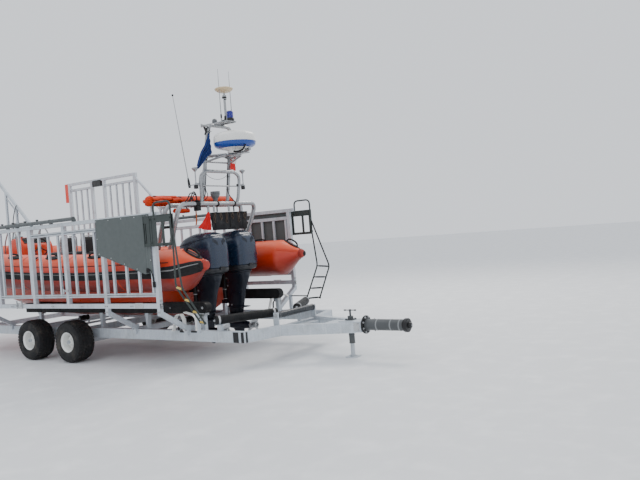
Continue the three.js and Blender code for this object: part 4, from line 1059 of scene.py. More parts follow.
def make_arch():
    arch = Shape()
    for foot, top in ((0.760, HOOP_AFT), (1.000, HOOP_FORE)):
        arch.tube(hoop_path(foot, top, ARCH_TOP), ARCH_R, 24)
        for _, side in SIDES:
            arch.turned([(0.062, 0.0005), (0.064, 0.003), (0.062, 0.010), (0.042, 0.012), (0.034, 0.024)],
                        (foot, side * 0.775, DECK_Z), (0, 0, 1), 28)
            for k in range(4):
                a = math.tau * (k + 0.5) / 4
                arch.bolt((foot + 0.050 * math.cos(a), side * 0.775 + 0.050 * math.sin(a), DECK_Z + 0.010),
                          (0, 0, 1), 0.007)
    for y in CROSS_RODS:
        arch.rod((HOOP_AFT, y, ARCH_TOP), (HOOP_FORE, y, ARCH_TOP), 0.020, 18)
    arch.rod((HOOP_AFT, 0, 1.348), (HOOP_FORE, 0, 1.348), 0.020, 18)
    arch.box(0.240, 0.360, -0.050, 0.050, 1.356, 1.3758)
    for y in (-0.600, 0, 0.600):
        arch.bar((HOOP_FORE, y, 1.369), (0.900, y, 1.369), 0.040, 0.015)
        for x in (0.62, 0.86):
            arch.bolt((x, y, 1.361), (0, 0, -1), 0.008)
    for _, side in SIDES:
        arch.rod((0.362, side * SIDE_ROD_Y, SIDE_ROD_Z), (0.640, side * SIDE_ROD_Y, SIDE_ROD_Z), 0.018, 18)
    for x, way in ((HOOP_AFT, 1), (HOOP_FORE, -1)):
        for y in CROSS_RODS:
            arch.weld([(x + way * 0.033, y + 0.021 * math.cos(a), ARCH_TOP + 0.021 * math.sin(a))
                       for a in [math.tau * k / 12 for k in range(13)]], 0.0032)
    for y in (-0.500, -0.200, 0.140, 0.265):
        arch.box(0.2245, 0.2375, y - 0.020, y + 0.020, 1.2405, 1.345)
    arch.done("arch_tubes", BOAT, ALLOY, ["arch"], "alloy_tube", bevel=0.0012, angle=45)

    grips = Shape()
    wrap = [(math.cos(math.tau * k / 24), math.sin(math.tau * k / 24)) for k in range(24)]
    clamp_y = 0.500
    grips.strap([(HOOP_AFT + 0.038 * c, clamp_y, ARCH_TOP + 0.038 * s) for c, s in wrap], (0, 1, 0), 0.085,
                0.006, loop=True)
    grips.box(0.190, 0.264, clamp_y - 0.040, clamp_y + 0.040, 1.262, 1.336)
    grips.box(0.196, 0.258, clamp_y - 0.034, clamp_y + 0.034, 1.404, 1.418)
    for dx in (-0.024, 0.024):
        grips.bolt((0.228 + dx, clamp_y, 1.418), (0, 0, 1), 0.006)
    for y in (-0.330, 0.060):
        grips.strap([(HOOP_AFT + 0.0365 * c, y, ARCH_TOP + 0.0365 * s) for c, s in wrap], (0, 1, 0), 0.034,
                    0.004, loop=True)
        grips.strap([(0.240, y, 1.345), (0.243, y, 1.24)], (0, 1, 0), 0.030, 0.004)
    for _, side in SIDES:
        grips.rod((0.600, side * SIDE_ROD_Y, SIDE_ROD_Z), (0.400, side * SIDE_ROD_Y, SIDE_ROD_Z), 0.0215, 18)
    grips.done("arch_grips", BOAT, RUBBER, slot="black_rubber", bevel=0.0015)


def mast_point(side, z):
    """Middle of a leaning mast post at a height."""
    t = (z - ARCH_TOP) / (PLATFORM_Z + 0.008 - ARCH_TOP)
    return Vector((0.336 + (0.103 - 0.336) * t, side * (0.290 + (0.2523 - 0.290) * t), z))


def make_mast():
    mast = Shape()
    mast.tube(rounded([mast_point(1, MAST_FOOT_Z), mast_point(1, PLATFORM_Z - 0.030),
                       mast_point(-1, PLATFORM_Z - 0.030), mast_point(-1, MAST_FOOT_Z)], 0.11, 10),
              0.028, 24)
    for _, side in SIDES:
        low = mast_point(side, MAST_FOOT_Z)
        mast.turned([(0.052, 0.0), (0.054, 0.004), (0.052, 0.012), (0.036, 0.016), (0.031, 0.040)],
                    (low.x + 0.001, low.y, ARCH_TOP + 0.012), (0, 0, 1), 24)
        mast.rod((0.166, side * 0.262, 1.862), (0.246, side * 0.276, 1.862), 0.014, 14)
        mast.rod((-0.056, side * 0.122, 2.605), (-0.056, side * 0.122, 2.700), 0.011, 16)
        mast.bar((0.192, side * 0.420, 1.655), (0.180, side * 0.560, 1.655), 0.040, 0.010)
        mast.bar((0.190, side * 0.420, 1.668), (0.180, side * 0.548, 1.668), 0.004, 0.024)
        stem = [(0.012, 1.640), (0.012, 1.652), (0.017, 1.656), (0.017, 1.676), (0.009, 1.684),
                (0.009, 1.840)]
        bell = eased([(0.009, 1.840), (0.022, 1.858), (0.044, 1.884), (0.049, 1.894), (0.047, 1.903),
                      (0.026, 1.914), (0.004, 1.917)], 3)
        mast.turned(stem + [tuple(p) for p in bell[1:]], (0.180, side * 0.536, 0), (0, 0, 1), 24)
    half = [(0.232, 0.408, ARCH_TOP + 0.012), (0.205, 0.412, 1.450), (0.180, 0.440, 1.720),
            (0.168, 0.425, 1.800), (0.166, 0.330, 1.862)]
    frame_path = half + [(x, -y, z) for x, y, z in reversed(half)]
    mast.tube(rounded(frame_path, 0.075, 7), 0.026, 20)
    mast.rod((0.192, 0.424, 1.640), (0.192, -0.424, 1.640), 0.010, 14)
    mast.rod((0.215, 0.277, 2.010), (0.215, -0.277, 2.010), 0.013, 14)
    for _, side in SIDES:
        mast.tube(rounded([(0.215, side * 0.272, 2.000), (0.100, side * 0.240, 2.026),
                           (-0.130, side * 0.165, 2.078)],
                          0.05), 0.016, 14)
        mast.rod((0.168, side * 0.262, 2.096), (-0.130, side * 0.150, 2.090), 0.013, 14)
    mast.rod(mast_point(1, 2.535), (0.100, 0.380, 2.545), 0.011, 12)
    mast.rod((0.166, -0.260, 2.076), (-0.386, -0.100, 2.150), 0.022, 18)
    mast.tube([(0.185, -0.264, 2.153), (0.150, -0.300, 2.154), (0.150, -0.392, 2.136)], 0.006, 10)
    mast.bar((-0.130, 0.168, 2.079), (-0.130, -0.168, 2.079), 0.040, 0.012)
    mast.box(-0.400, 0.190, -0.070, 0.070, 2.0855, 2.093)
    for y in (-0.066, 0.066):
        mast.box(-0.400, 0.190, y - 0.004, y + 0.004, 2.0855, 2.1048)
    mast.bar((0.168, 0.265, 2.096), (0.168, -0.265, 2.096), 0.034, 0.022)
    mast.box(-0.150, 0.340, -0.105, 0.105, PLATFORM_Z + 0.012, PLATFORM_Z + 0.0198)
    for y in (-0.101, 0.101):
        mast.box(-0.150, 0.340, y - 0.004, y + 0.004, PLATFORM_Z, PLATFORM_Z + 0.014)
    mast.bar((-0.056, 0.132, 2.600), (-0.056, -0.132, 2.600), 0.026, 0.018)
    mast.turned([(0.042, 2.6100), (0.042, 2.618), (0.024, 2.624), (0.019, 2.64), (0.019, 2.983),
                 (0.033, 2.991),
                 (0.033, 3.012), (0.015, 3.019), (0.015, 3.052)], (-0.040, 0, 0), (0, 0, 1), 28)
    mast.bar((0.180, 0.550, 1.655), (0.180, 0.690, 1.630), 0.034, 0.012)
    mast.box(0.070, 0.130, 0.222, 0.285, 2.4525, 2.4605)
    mast.rod((0.108, 0.226, 2.457), (0.121, 0.226, 2.457), 0.012, 14)
    for z in (1.862, 2.010, 2.096):
        for _, side in SIDES:
            p = mast_point(side, z)
            mast.turned([(0.0285, -0.018), (0.033, -0.014), (0.033, 0.014), (0.0285, 0.018)], p, (0, 0, 1),
                        20)
    for side in (-1, 1):
        for x in (-0.10, 0.10, 0.28):
            mast.bolt((x, side * 0.07, PLATFORM_Z + 0.0195), (0, 0, 1), 0.007)
    mast.done("mast_tubes", BOAT, ALLOY, ["mast"], "alloy_tube", bevel=0.001, angle=45)

    whips = Shape()
    for _, side in SIDES:
        whips.tube([(-0.056, side * 0.122, 2.69 + 0.0709 * k) for k in range(11)],
                   lambda t: 0.0075 - 0.0045 * t, 12)
    whips.tube([(0.180, 0.688 + 0.018 * k, 1.725 + 0.122 * k) for k in range(11)],
               lambda t: 0.0075 - 0.0035 * t, 12)
    whips.rod((-0.135, 0.090, 2.610), (-0.135, 0.090, 2.930), 0.0045, 12)
    whips.done("aerials", BOAT, AERIAL, slot="white_plastic", angle=40)
    domes = Shape()
    dish = eased([(0.060, 3.058), (0.096, 3.068), (0.128, 3.090), (0.140, 3.106), (0.140, 3.116),
                  (0.118, 3.128), (0.070, 3.137), (0.002, 3.1405)], 4)
    domes.turned([(0.015, 3.050)] + dish, (-0.040, 0, 0), (0, 0, 1), 40)
    domes.done("aerial_dish", BOAT, CREAM, slot="white_plastic", angle=40)
    horn = Shape()
    horn.turned([(0.010, -0.030), (0.014, -0.026), (0.014, 0.020), (0.020, 0.045), (0.030, 0.064),
                 (0.031, 0.068),
                 (0.026, 0.066), (0.010, 0.030)], (0.062, 0.358, 2.532), (0.80, 0.60, 0.06), 32)
    horn.done("mast_horn", BOAT, AERIAL, slot="white_plastic", angle=40)

    black = Shape()
    black.turned([(0.060, 2.6102), (0.064, 2.616), (0.064, 2.632), (0.030, 2.640), (0.026, 2.690),
                  (0.022, 2.700)],
                 (-0.040, 0, 0), (0, 0, 1), 28)
    black.turned([(0.036, 2.968), (0.038, 2.978), (0.038, 2.984), (0.030, 2.990)], (-0.040, 0, 0), (0, 0, 1),
                 24)
    black.turned([(0.017, 0.000), (0.019, 0.010), (0.018, 0.100), (0.013, 0.128), (0.009, 0.150)],
                 (0.180, 0.671, 1.600), (0, 0.147, 1), 20)
    black.turned([(0.006, -0.015), (0.013, -0.008), (0.015, 0.002), (0.011, 0.012), (0.003, 0.016)],
                 (0.180, 0.868, 2.947), (0, 0, 1), 20)
    black.turned([(0.010, 0), (0.022, 0.004), (0.022, 0.010), (0.006, 0.014)], (-0.135, 0.090, 2.916),
                 (0, 0, 1), 16)
    for _, side in SIDES:
        black.turned([(0.012, 0), (0.013, 0.01), (0.013, 0.05), (0.009, 0.062)],
                     (-0.056, side * 0.122, 2.650), (0, 0, 1), 16)
        black.box(0.172, 0.212, side * 0.400, side * 0.452, 1.634, 1.676)
        black.box(0.166, 0.206, side * 0.505, side * 0.560, 1.590, 1.650)
    black.bar((0.100, 0.362, 2.548), (0.106, 0.300, 2.440), 0.020, 0.030)
    black.bar((0.098, 0.300, 2.500), (0.100, 0.345, 2.400), 0.016, 0.020)
    black.turned([(0.044, 2.6102), (0.046, 2.615), (0.046, 2.628), (0.040, 2.632)], (0.200, 0, 0), (0, 0, 1),
                 28)
    black.done("aerial_bases", BOAT, BLACK, slot="black_metal", angle=40, bevel=0.001)

    lamp_top = Shape()
    glass = eased([(0.040, 2.630), (0.041, 2.650), (0.037, 2.672), (0.024, 2.688), (0.003, 2.6935)], 4)
    lamp_top.turned(glass, (0.200, 0, 0), (0, 0, 1), 32)
    lamp_top.done("masthead_lamp", BOAT, LAMP_GREY, slot="grey_plastic", angle=50)


MAST_RUNS = (
    (0.0075, [(0.232, 0.43, 1.405), (0.215, 0.36, 1.455), (0.235, 0.300, 1.52), (0.262, 0.262, 1.62),
              (0.245, 0.258, 1.75), (0.222, 0.255, 1.90), (0.190, 0.245, 2.06), (0.160, 0.242, 2.20),
              (0.110, 0.230, 2.45), (0.095, 0.215, 2.560)]),
    (0.0060, [(0.232, 0.41, 1.405), (0.205, 0.33, 1.435), (0.210, 0.275, 1.50), (0.272, 0.245, 1.60),
              (0.255, 0.240, 1.75), (0.232, 0.236, 1.90), (0.205, 0.225, 2.06), (0.180, 0.12, 2.082)]),
    (0.0070, [(0.240, -0.36, 1.405), (0.280, -0.300, 1.50), (0.275, -0.250, 1.60), (0.252, -0.245, 1.75),
              (0.228, -0.242, 1.90), (0.200, -0.235, 2.06), (0.170, -0.15, 2.083), (0.02, -0.052, 2.082)]),
)


def make_mast_cables():
    """Cables clipped to the mast's legs and under the radar bracket."""
    wires, clips = Shape(), Shape()
    for radius, points in MAST_RUNS:
        path = eased(points, 7)
        wires.tube(path, radius, 10)
        for p in path[14::9]:
            post = mast_point(1 if p.y > 0 else -1, p.z)
            clips.strap([post + Vector((0.0297 * math.cos(a), 0.0297 * math.sin(a), 0))
                         for a in [math.tau * k / 20 for k in range(20)]], (0, 0, 1), 0.010, 0.002, loop=True)
    for k, (y, rise) in enumerate(((0.60, 0.07), (0.655, 0.055), (0.57, 0.045))):
        loop = [(0.226, 0.50, 1.41), (0.20, 0.54, 1.44 + rise), (0.19, y, 1.47 + rise),
                (0.20, y + 0.06, 1.44), (0.225, y + 0.09, 1.402 - 0.004 * k)]
        wires.tube(eased(loop, 8), 0.009 - 0.001 * k, 12)
    wires.tube(eased([(0.246, 0.258, 1.850), (0.225, 0.200, 1.785), (0.215, 0.090, 1.748),
                      (0.215, -0.050, 1.752), (0.225, -0.190, 1.800), (0.246, -0.256, 1.850)], 8), 0.0035, 8)
    wires.tube(eased([(-0.448, 0.070, 2.206), (-0.456, 0.110, 2.160), (-0.424, 0.140, 2.112),
                      (-0.306, 0.120, 2.108), (-0.196, 0.080, 2.131)], 8), 0.013, 10)
    wires.done("mast_cables", BOAT, RUBBER, slot="black_rubber", angle=60)
    clips.done("cable_clips", BOAT, BLACK, slot="black_metal")


def make_radar():
    radome = Shape()
    upper = eased([(0.318, 2.262), (0.3225, 2.290), (0.3222, 2.332), (0.314, 2.366), (0.286, 2.396),
                   (0.225, 2.420), (0.135, 2.438), (0.003, 2.4448)], 5)
    radome.turned(upper, (-0.180, 0, 0), (0, 0, 1), 64)
    radome.done("radome", BOAT, WHITE, ["radar"], "white_plastic", angle=60)
    base = Shape()
    dish = eased([(0.105, 2.108), (0.112, 2.120), (0.121, 2.148), (0.180, 2.164), (0.232, 2.178)], 4)
    base.turned(dish, (-0.180, 0, 0), (0, 0, 1), 64)
    base.coat = 1
    band = eased([(0.232, 2.178), (0.262, 2.186), (0.298, 2.206), (0.314, 2.230), (0.3195, 2.258)], 4)
    base.turned(band + [(0.3225, 2.262), (0.3225, 2.266), (0.316, 2.268)], (-0.180, 0, 0),
                (0, 0, 1), 64)
    base.done("radar_base", BOAT, [WHITE, BAND_BLUE], slot="white_plastic", angle=60)
    feet = Shape()
    for a in [math.tau * (k + 0.5) / 4 for k in range(4)]:
        x, y = -0.180 + 0.085 * math.cos(a), 0.058 * math.sin(a)
        feet.turned([(0.016, 2.0935), (0.016, 2.112)], (x, y, 0), (0, 0, 1), 16)
        feet.bolt((x, y, 2.0850), (0, 0, -1), 0.007)
    feet.done("radar_feet", BOAT, STEEL, slot="steel_shaft")


def make_lamps():
    base = Shape()
    base.turned([(0.062, 2.6104), (0.063, 2.614), (0.062, 2.640), (0.056, 2.648), (0.050, 2.650)],
                (-0.125, 0, 0), (0, 0, 1), 36)
    base.done("beacon_base", BOAT, BLACK, slot="black_metal", angle=40)
    lens = Shape()
    ribs = [(0.0500, 2.649)]
    for k in range(12):
        z = 2.652 + 0.0082 * k
        ribs += [(0.0500, z), (0.0518, z + 0.002), (0.0518, z + 0.0055), (0.0500, z + 0.0075)]
    dome = eased([(0.0498, 2.750), (0.044, 2.7570), (0.030, 2.7615), (0.003, 2.7628)], 3)
    lens.turned(ribs + dome, (-0.125, 0, 0), (0, 0, 1), 40)
    lens.done("beacon_lens", BOAT, LENS, ["beacon"], "navy_gloss", angle=40)

    cup = Shape()
    shape = eased([(0.031, 1.402), (0.033, 1.430), (0.040, 1.455), (0.058, 1.482), (0.071, 1.505),
                   (0.0745, 1.535), (0.0755, 1.560)], 4)
    cup.turned([(0.040, 1.3764), (0.041, 1.380), (0.040, 1.391), (0.031, 1.398)] + shape
               + [(0.0755, 1.5655), (0.066, 1.5658), (0.064, 1.556)], (0.312, 0, 0), (0, 0, 1), 40)
    for k in range(8):
        a = math.tau * k / 8
        x, y = 0.312 + 0.055 * math.cos(a), 0.055 * math.sin(a)
        cup.box(x - 0.003, x + 0.003, y - 0.003, y + 0.003, 1.462, 1.500)
    for z in (1.516, 1.526, 1.536):
        cup.turned([(0.074, z), (0.0768, z + 0.002), (0.0768, z + 0.004), (0.074, z + 0.006)], (0.312, 0, 0),
                   (0, 0, 1), 40)
    cup.done("searchlight_body", BOAT, LAMP_GREY, ["searchlight"], "black_metal", angle=40)
    glass = Shape()
    glass.turned([(0.065, 1.553), (0.065, 1.558), (0.045, 1.5625), (0.004, 1.5645)], (0.312, 0, 0), (0, 0, 1),
                 36)
    glass.done("searchlight_glass", BOAT, SCREEN, slot="screen_clear", angle=50)


BAG_X = 0.750
BAG_Z = 1.4546
BAG_HALF = (0.122, 0.080)
BAG_FOOT = -0.0768
BAG_ENDS = (1.020, -0.820)
BAG_STRAPS = (-0.66, -0.30, 0.18, 0.40, 0.90)


def bag_point(y, angle, share):
    """A point of the rolled bag's skin, flat where it lies on its bearers."""
    reach = max(BAG_HALF[1] * share * math.sin(angle), BAG_FOOT)
    return Vector((BAG_X + BAG_HALF[0] * share * math.cos(angle), y, BAG_Z + reach))


def bag_skin(y, angle):
    """How far the bag's skin stands from its axis, as a share: folded to port, smooth beyond."""
    loose = max(0.0, min(1.0, (y - 0.34) / 0.12))
    turn = angle + 0.5 * math.sin(4 * y)
    folds = sum(math.exp(-((math.sin((turn + 2.1 * y - start) / 2)) / 0.095) ** 2)
                for start in (1.2, 2.4, 3.5, 4.1, 4.7, 5.3, 5.9))
    puff = 0.5 * math.sin(5 * angle + 13 * y) + 0.5 * math.sin(3 * angle - 19 * y + 1.3)
    small = 0.5 * math.sin(11 * angle + 37 * y) + 0.5 * math.sin(8 * angle - 53 * y + 0.7)
    pinch = sum(math.exp(-((y - s) / 0.022) ** 2) for s in BAG_STRAPS)
    share = 1.0 + loose * (0.075 * puff + 0.040 * small - 0.26 * folds) - (0.05 + 0.07 * loose) * pinch
    return share + (1 - loose) * 0.012 * math.sin(2 * angle + 6 * y)


def make_righting_bag():
    """The rolled bag across the arch: a loose folded bundle to port, a smooth roll beyond it."""
    bag = Shape()
    rows = []
    steps = 150
    low, high = BAG_ENDS[1], BAG_ENDS[0]
    for k in range(steps + 1):
        y = high + (low - high) * k / steps
        edge = min(high - y, y - low)
        end = 1.0 if edge > 0.06 else math.sqrt(max(0.0, 1 - ((0.06 - edge) / 0.0605) ** 2)) * 0.9 + 0.1
        rows.append([bag_point(y, a, end * bag_skin(y, a)) for a in [math.tau * m / 80 for m in range(80)]])
    bag.skin(rows)
    bag.done("righting_bag_roll", BOAT, BAG, ["righting_bag"], "orange_bag", angle=70)
    straps = Shape()
    for s in BAG_STRAPS:
        shrink = 0.965 - 0.045 * (s > 0.3)
        straps.strap([bag_point(s, math.tau * m / 40, shrink) for m in range(40)], (0, 1, 0), 0.034, 0.004,
                     loop=True)
        straps.box(0.862, 0.874, s - 0.022, s + 0.022, 1.432, 1.468)
    straps.done("righting_bag_straps", BOAT, NET, slot="net_cloth", bevel=0.001)
    flap = Shape()
    for y0, y1, first, rise in ((0.99, 0.62, 128, 0.10), (0.88, 0.46, 84, 0.09), (0.60, 0.36, 150, 0.06),
                                (0.98, 0.70, 178, 0.08)):
        rows = []
        for k in range(25):
            t = k / 24
            y = y0 + (y1 - y0) * t
            row = []
            for m in range(9):
                u = m / 8
                angle = math.radians(first + 40 * u + 7 * math.sin(9 * t))
                lift = rise * math.sin(math.pi * u) ** 0.6 * (0.75 + 0.25 * math.sin(13 * t + first))
                row.append(bag_point(y, angle, 0.97 + lift))
            rows.append(row)
        flap.sheet(rows, 0.006)
    flap.done("righting_bag_folds", BOAT, BAG, slot="orange_bag", angle=60)

    roll = Shape()
    rows = []
    for k in range(33):
        y = 0.385 + 0.320 * k / 32
        edge = min(y - 0.385, 0.705 - y)
        end = 1.0 if edge > 0.03 else math.sqrt(max(0.0, 1 - ((0.03 - edge) / 0.0305) ** 2)) * 0.85 + 0.15
        row = []
        for m in range(32):
            a = math.tau * m / 32
            r = end * (1 + 0.09 * math.sin(3 * a + 22 * y) + 0.04 * math.sin(7 * a - 41 * y))
            row.append((0.520 + 0.042 * r * math.cos(a), y, 1.288 + 0.036 * r * math.sin(a)))
        rows.append(row)
    roll.skin(rows)
    roll.done("stowed_roll", BOAT, BAG, slot="orange_bag", angle=70)
    ties = Shape()
    for y in (0.450, 0.640):
        ring = [(0.520 + 0.040 * math.cos(math.tau * m / 28), 1.288 + 0.034 * math.sin(math.tau * m / 28))
                for m in range(28)]
        ties.strap([(x, y, z) for x, z in ring], (0, 1, 0), 0.022, 0.004, loop=True)
        ties.strap([(0.503, y, 1.318), (0.500, y, 1.350)], (0, 1, 0), 0.022, 0.004)
    ties.done("stowed_roll_ties", BOAT, NET, slot="net_cloth", bevel=0.0008)
    upright = Shape()
    upright.strap(rounded([(0.262, 0.500, 1.345), (0.262, 0.500, 1.120), (0.276, 0.506, 1.050)], 0.05),
                  (0, 1, 0), 0.026, 0.005)
    upright.done("hanging_strap", BOAT, WEBBING, slot="net_cloth", bevel=0.0008)


def make_net_bag():
    """Stowage bag hung under the arch: a sagging pouch with rope handles along its top."""
    y0, y1, z0, z1 = 0.224, -0.634, 0.954, 1.2392
    pouch = Shape()
    rows = []
    for k in range(29):
        t = k / 28
        z = z1 - (z1 - z0) * t
        row = []
        for m in range(64):
            a = math.tau * m / 64
            c, s = math.cos(a), math.sin(a)
            inset = 0.030 * t ** 2 + 0.004 * math.sin(9 * t + 3 * s)
            y = (y0 + y1) / 2 + ((y0 - y1) / 2 - inset) * math.copysign(abs(s) ** 0.32, s)
            bulge = 0.012 + 0.017 * math.sin(math.pi * min(1, t * 1.05)) ** 0.7
            bulge *= 1 - 0.30 * abs(math.sin(4.5 * math.pi * (y - y1) / (y0 - y1))) * (1 - 0.5 * t)
            x = 0.2348 + bulge * math.copysign(abs(c) ** 0.8, c)
            sag = 0.012 * abs(math.sin(3.5 * math.pi * (y - y1) / (y0 - y1))) * (1 - t)
            row.append((x, y, z - sag))
        rows.append(row)
    pouch.skin(rows)
    body = pouch.done("net_bag_pouch", BOAT, NET, ["net_bag"], "net_cloth", angle=60)

    trim = Shape()
    for z, r in ((1.226, 0.006), (1.060, 0.003)):
        ring = []
        for m in range(72):
            a = math.tau * m / 72
            c, s = math.cos(a), math.sin(a)
            ring.append((0.2348 + 0.019 * math.copysign(abs(c) ** 0.5, c),
                         (y0 + y1) / 2 + ((y0 - y1) / 2 - 0.002) * math.copysign(abs(s) ** 0.32, s), z))
        trim.tube(ring, r, 8, loop=True)
    for y in (-0.50, -0.20, 0.14):
        trim.strap([(0.2105, y, 1.232), (0.2055, y, 1.10), (0.2060, y, 0.985)], (0, 1, 0), 0.026, 0.003)
    trim_obj = trim.done("net_bag_trim", BOAT, RUBBER, slot="black_rubber", angle=50)

    rope = Shape()
    for y, wide, drop in ((0.165, 0.046, 0.165), (0.020, 0.040, 0.130), (-0.110, 0.050, 0.175),
                          (-0.250, 0.040, 0.125), (-0.390, 0.052, 0.170), (-0.545, 0.044, 0.130)):
        for turn in range(2):
            path = []
            for m in range(26):
                a = math.tau * m / 26
                lean = 0.010 * math.sin(3 * a + 20 * y)
                path.append((0.2055 - 0.004 * turn, y + lean + (wide / 2 - 0.008 * turn) * math.cos(a),
                             1.232 - drop / 2 + (drop / 2 - 0.012 * turn) * math.sin(a)))
            rope.tube(path, 0.0035, 8, loop=True)
    rope_obj = rope.done("net_bag_handles", BOAT, ROPE, slot="net_cloth", angle=60)
    for obj in (body, trim_obj, rope_obj):
        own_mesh(obj)


def hung_flag(name, x, upper, lower, folds, depth, coats, slot, node, stripe=None):
    """A flag that hangs in folds between an upper and a lower edge, given in Y and Z."""
    over = eased([(y, z) for y, z in upper], 8)
    under = eased([(y, z) for y, z in lower], 8)
    rows = []
    for k in range(25):
        v = k / 24
        row = []
        for m in range(len(over)):
            u = m / (len(over) - 1)
            y, z = over[m].lerp(under[m], v)
            wave = math.sin(math.tau * folds * v + 2.0 * u) * (0.30 + 0.70 * u)
            wave += 0.35 * math.sin(math.tau * (folds * 1.9) * v - 3.1 * u + 0.8) * u
            row.append(Vector((x + depth * wave, y, z + 0.006 * math.sin(9 * u + 4 * v))))
        rows.append(row)
    cloth = Shape()
    cloth.sheet(rows, 0.0016)
    if stripe:
        for face in cloth.mesh.faces:
            middle = face.calc_center_median()
            if stripe(middle):
                face.material_index = 1
    obj = cloth.done(name, BOAT, coats, [node] if node else (), slot, angle=80)
    return obj


def make_flags():
    hung_flag("ensign_cloth", 0.089,
              [(0.262, 2.451), (0.300, 2.375), (0.372, 2.255), (0.472, 2.125), (0.566, 1.935)],
              [(0.238, 2.130), (0.292, 2.092), (0.360, 2.040), (0.425, 1.988), (0.552, 1.874)], 4.0, 0.019,
              [FLAG_BLUE], "flag_navy", "flag_blue")
    red = hung_flag("red_flag_cloth", 0.2320,
                    [(0.285, 1.2395), (0.318, 1.190), (0.400, 1.095), (0.508, 1.002)],
                    [(0.241, 1.2385), (0.238, 1.150), (0.237, 1.050), (0.240, 0.955)], 2.5, 0.010,
                    [FLAG_RED], "flag_scarlet", "flag_red")
    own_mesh(red)
    hung_flag("pennant_cloth", 0.150, [(-0.262, 2.150), (-0.300, 2.152), (-0.345, 2.146), (-0.390, 2.134)],
              [(-0.222, 1.902), (-0.255, 1.894), (-0.295, 1.890), (-0.338, 1.884)], 1.5, 0.010,
              [FLAG_RED, FLAG_WHITE], "flag_scarlet", None,
              lambda p: 2.000 < p.z < 2.070 and p.y < -0.270 or (p.z > 2.060 and p.y > -0.300))


# Guard fences

FENCE_Y = 1.535
FENCE_END = 6.200
TOP_Z = 1.248
FRAME_TOP = 2.330
FOOT_Z = -0.067
SEAT = 0.0008
POSTS = (0.057, 1.162, 2.070, 2.953)
BARS = (0.140, 0.409, 0.672, 0.955, 1.338, 1.597, 1.838, 2.230, 2.480, 2.730, 3.010, 3.280, 3.555, 3.820,
        4.090, 4.350, 4.610, 4.870, 5.130, 5.390, 5.650, 5.910)
TALL_POSTS = ((3.915, 3.995), (4.927, 4.990), (5.340, 5.405), (6.130, 6.200))
TALL_BARS = (4.165, 4.370, 4.575, 4.780, 5.570, 5.775, 5.980)


class SideShape(Shape):
    """A shape whose boxes are given for the port side and mirrored to starboard."""

    def __init__(self, side):
        super().__init__()
        self.side = side

    def block(self, x0, x1, y0, y1, z0, z1):
        self.box(x0, x1, self.side * y0, self.side * y1, z0, z1)

    def section_bar(self, x, half, z0, z1):
        """An upright of H section, its two flanges parallel to the fence."""
        y0, y1 = FENCE_Y - 0.008, FENCE_Y + 0.022
        self.block(x - half, x + half, y1 - 0.006, y1, z0, z1)
        self.block(x - half, x + half, y0, y0 + 0.006, z0, z1)
        self.block(x - 0.004, x + 0.004, y0 + 0.005, y1 - 0.005, z0, z1)


def make_fence(name, side):
    grille = SideShape(side)
    y0, y1 = FENCE_Y - 0.030, FENCE_Y + 0.030
    grille.block(0.026, FENCE_END, y0 + SEAT, y1 - SEAT, FOOT_Z, 0)
    grille.block(-0.050, FENCE_END, y0 + SEAT, y1 - SEAT, 1.190, TOP_Z)
    for low, high, ends in ((0.092, 0.148, (0.026, FENCE_END)), (1.058, 1.117, (0.026, 2.953))):
        grille.block(*ends, FENCE_Y - 0.012, FENCE_Y - 0.006, low, high)
        grille.block(*ends, FENCE_Y - 0.012, FENCE_Y + 0.026, high - 0.006, high)
        grille.block(*ends, FENCE_Y - 0.012, FENCE_Y + 0.026, low, low + 0.006)
        grille.block(*ends, FENCE_Y + 0.020, FENCE_Y + 0.026, high - 0.022, high)
        grille.block(*ends, FENCE_Y + 0.020, FENCE_Y + 0.026, low, low + 0.022)
    for x in POSTS:
        grille.block(x - 0.031, x + 0.031, y0, y1, FOOT_Z + SEAT, 1.200)
    grille.block(FENCE_END - 0.066, FENCE_END - SEAT, y0, y1, FOOT_Z + SEAT, 1.200)
    grille.block(3.915, 3.995, y0, y1, FOOT_Z + SEAT, 1.200)
    for x in BARS:
        grille.section_bar(x, 0.020, 0.120, 1.070 if x < POSTS[3] else 1.200)
    obj = grille.done(f"fence_grille_{name}", BOAT, GALV, [f"fence_{name}"], "galvanised_steel", 0.0025, 2,
                      50)

    fittings = SideShape(side)
    for x in BARS:
        top = 1.058 if x < POSTS[3] else 1.190
        for z in (0.148, top):
            y = side * (FENCE_Y + 0.0225)
            fittings.weld([(x - 0.021, y, z), (x + 0.021, y, z)], 0.0028)
    for x in POSTS:
        for z in (0.001, 1.189):
            fittings.weld([(x - 0.031, side * (y1 - 0.001), z), (x + 0.031, side * (y1 - 0.001), z)], 0.0030)
        fittings.weld([(x - 0.0315, side * (y1 - 0.004), 0.148), (x - 0.0315, side * y0, 0.148)], 0.0028)
    fittings.done(f"fence_welds_{name}", BOAT, GALV_PALE, slot="galvanised_steel", angle=60)

    bolts = SideShape(side)
    for z in (0.036, -0.030, -0.063):
        bolts.bolt((0.026, side * FENCE_Y, z), (-1, 0, 0), 0.014)
    for x in (0.600, 1.162, 1.730, 2.475, 3.600, 4.500, 5.300, 6.010):
        for off in (-0.02, 0.02):
            bolts.bolt((x + off, side * (y1 - SEAT), -0.034), (0, side, 0), 0.009)
    bolts.block(3.285, 3.475, y1 - SEAT, y1 + 0.005, -0.072, 0.028)
    for x in (3.315, 3.445):
        bolts.block(x - 0.014, x + 0.014, y1 + 0.004, y1 + 0.016, -0.066, 0.060)
        bolts.bolt((x, side * (y1 + 0.016), -0.020), (0, side, 0), 0.010)
    bolts.block(0.36, 0.53, y1, y1 + 0.004, -0.067, 0.010)
    bolts.block(2.035, 2.150, y1, y1 + 0.010, 0.190, 0.222)
    bolts.block(2.120, 2.150, y1 + 0.009, y1 + 0.020, 0.160, 0.236)
    bolts.done(f"fence_bolts_{name}", BOAT, STEEL, slot="steel_shaft", bevel=0.0012)
    return obj


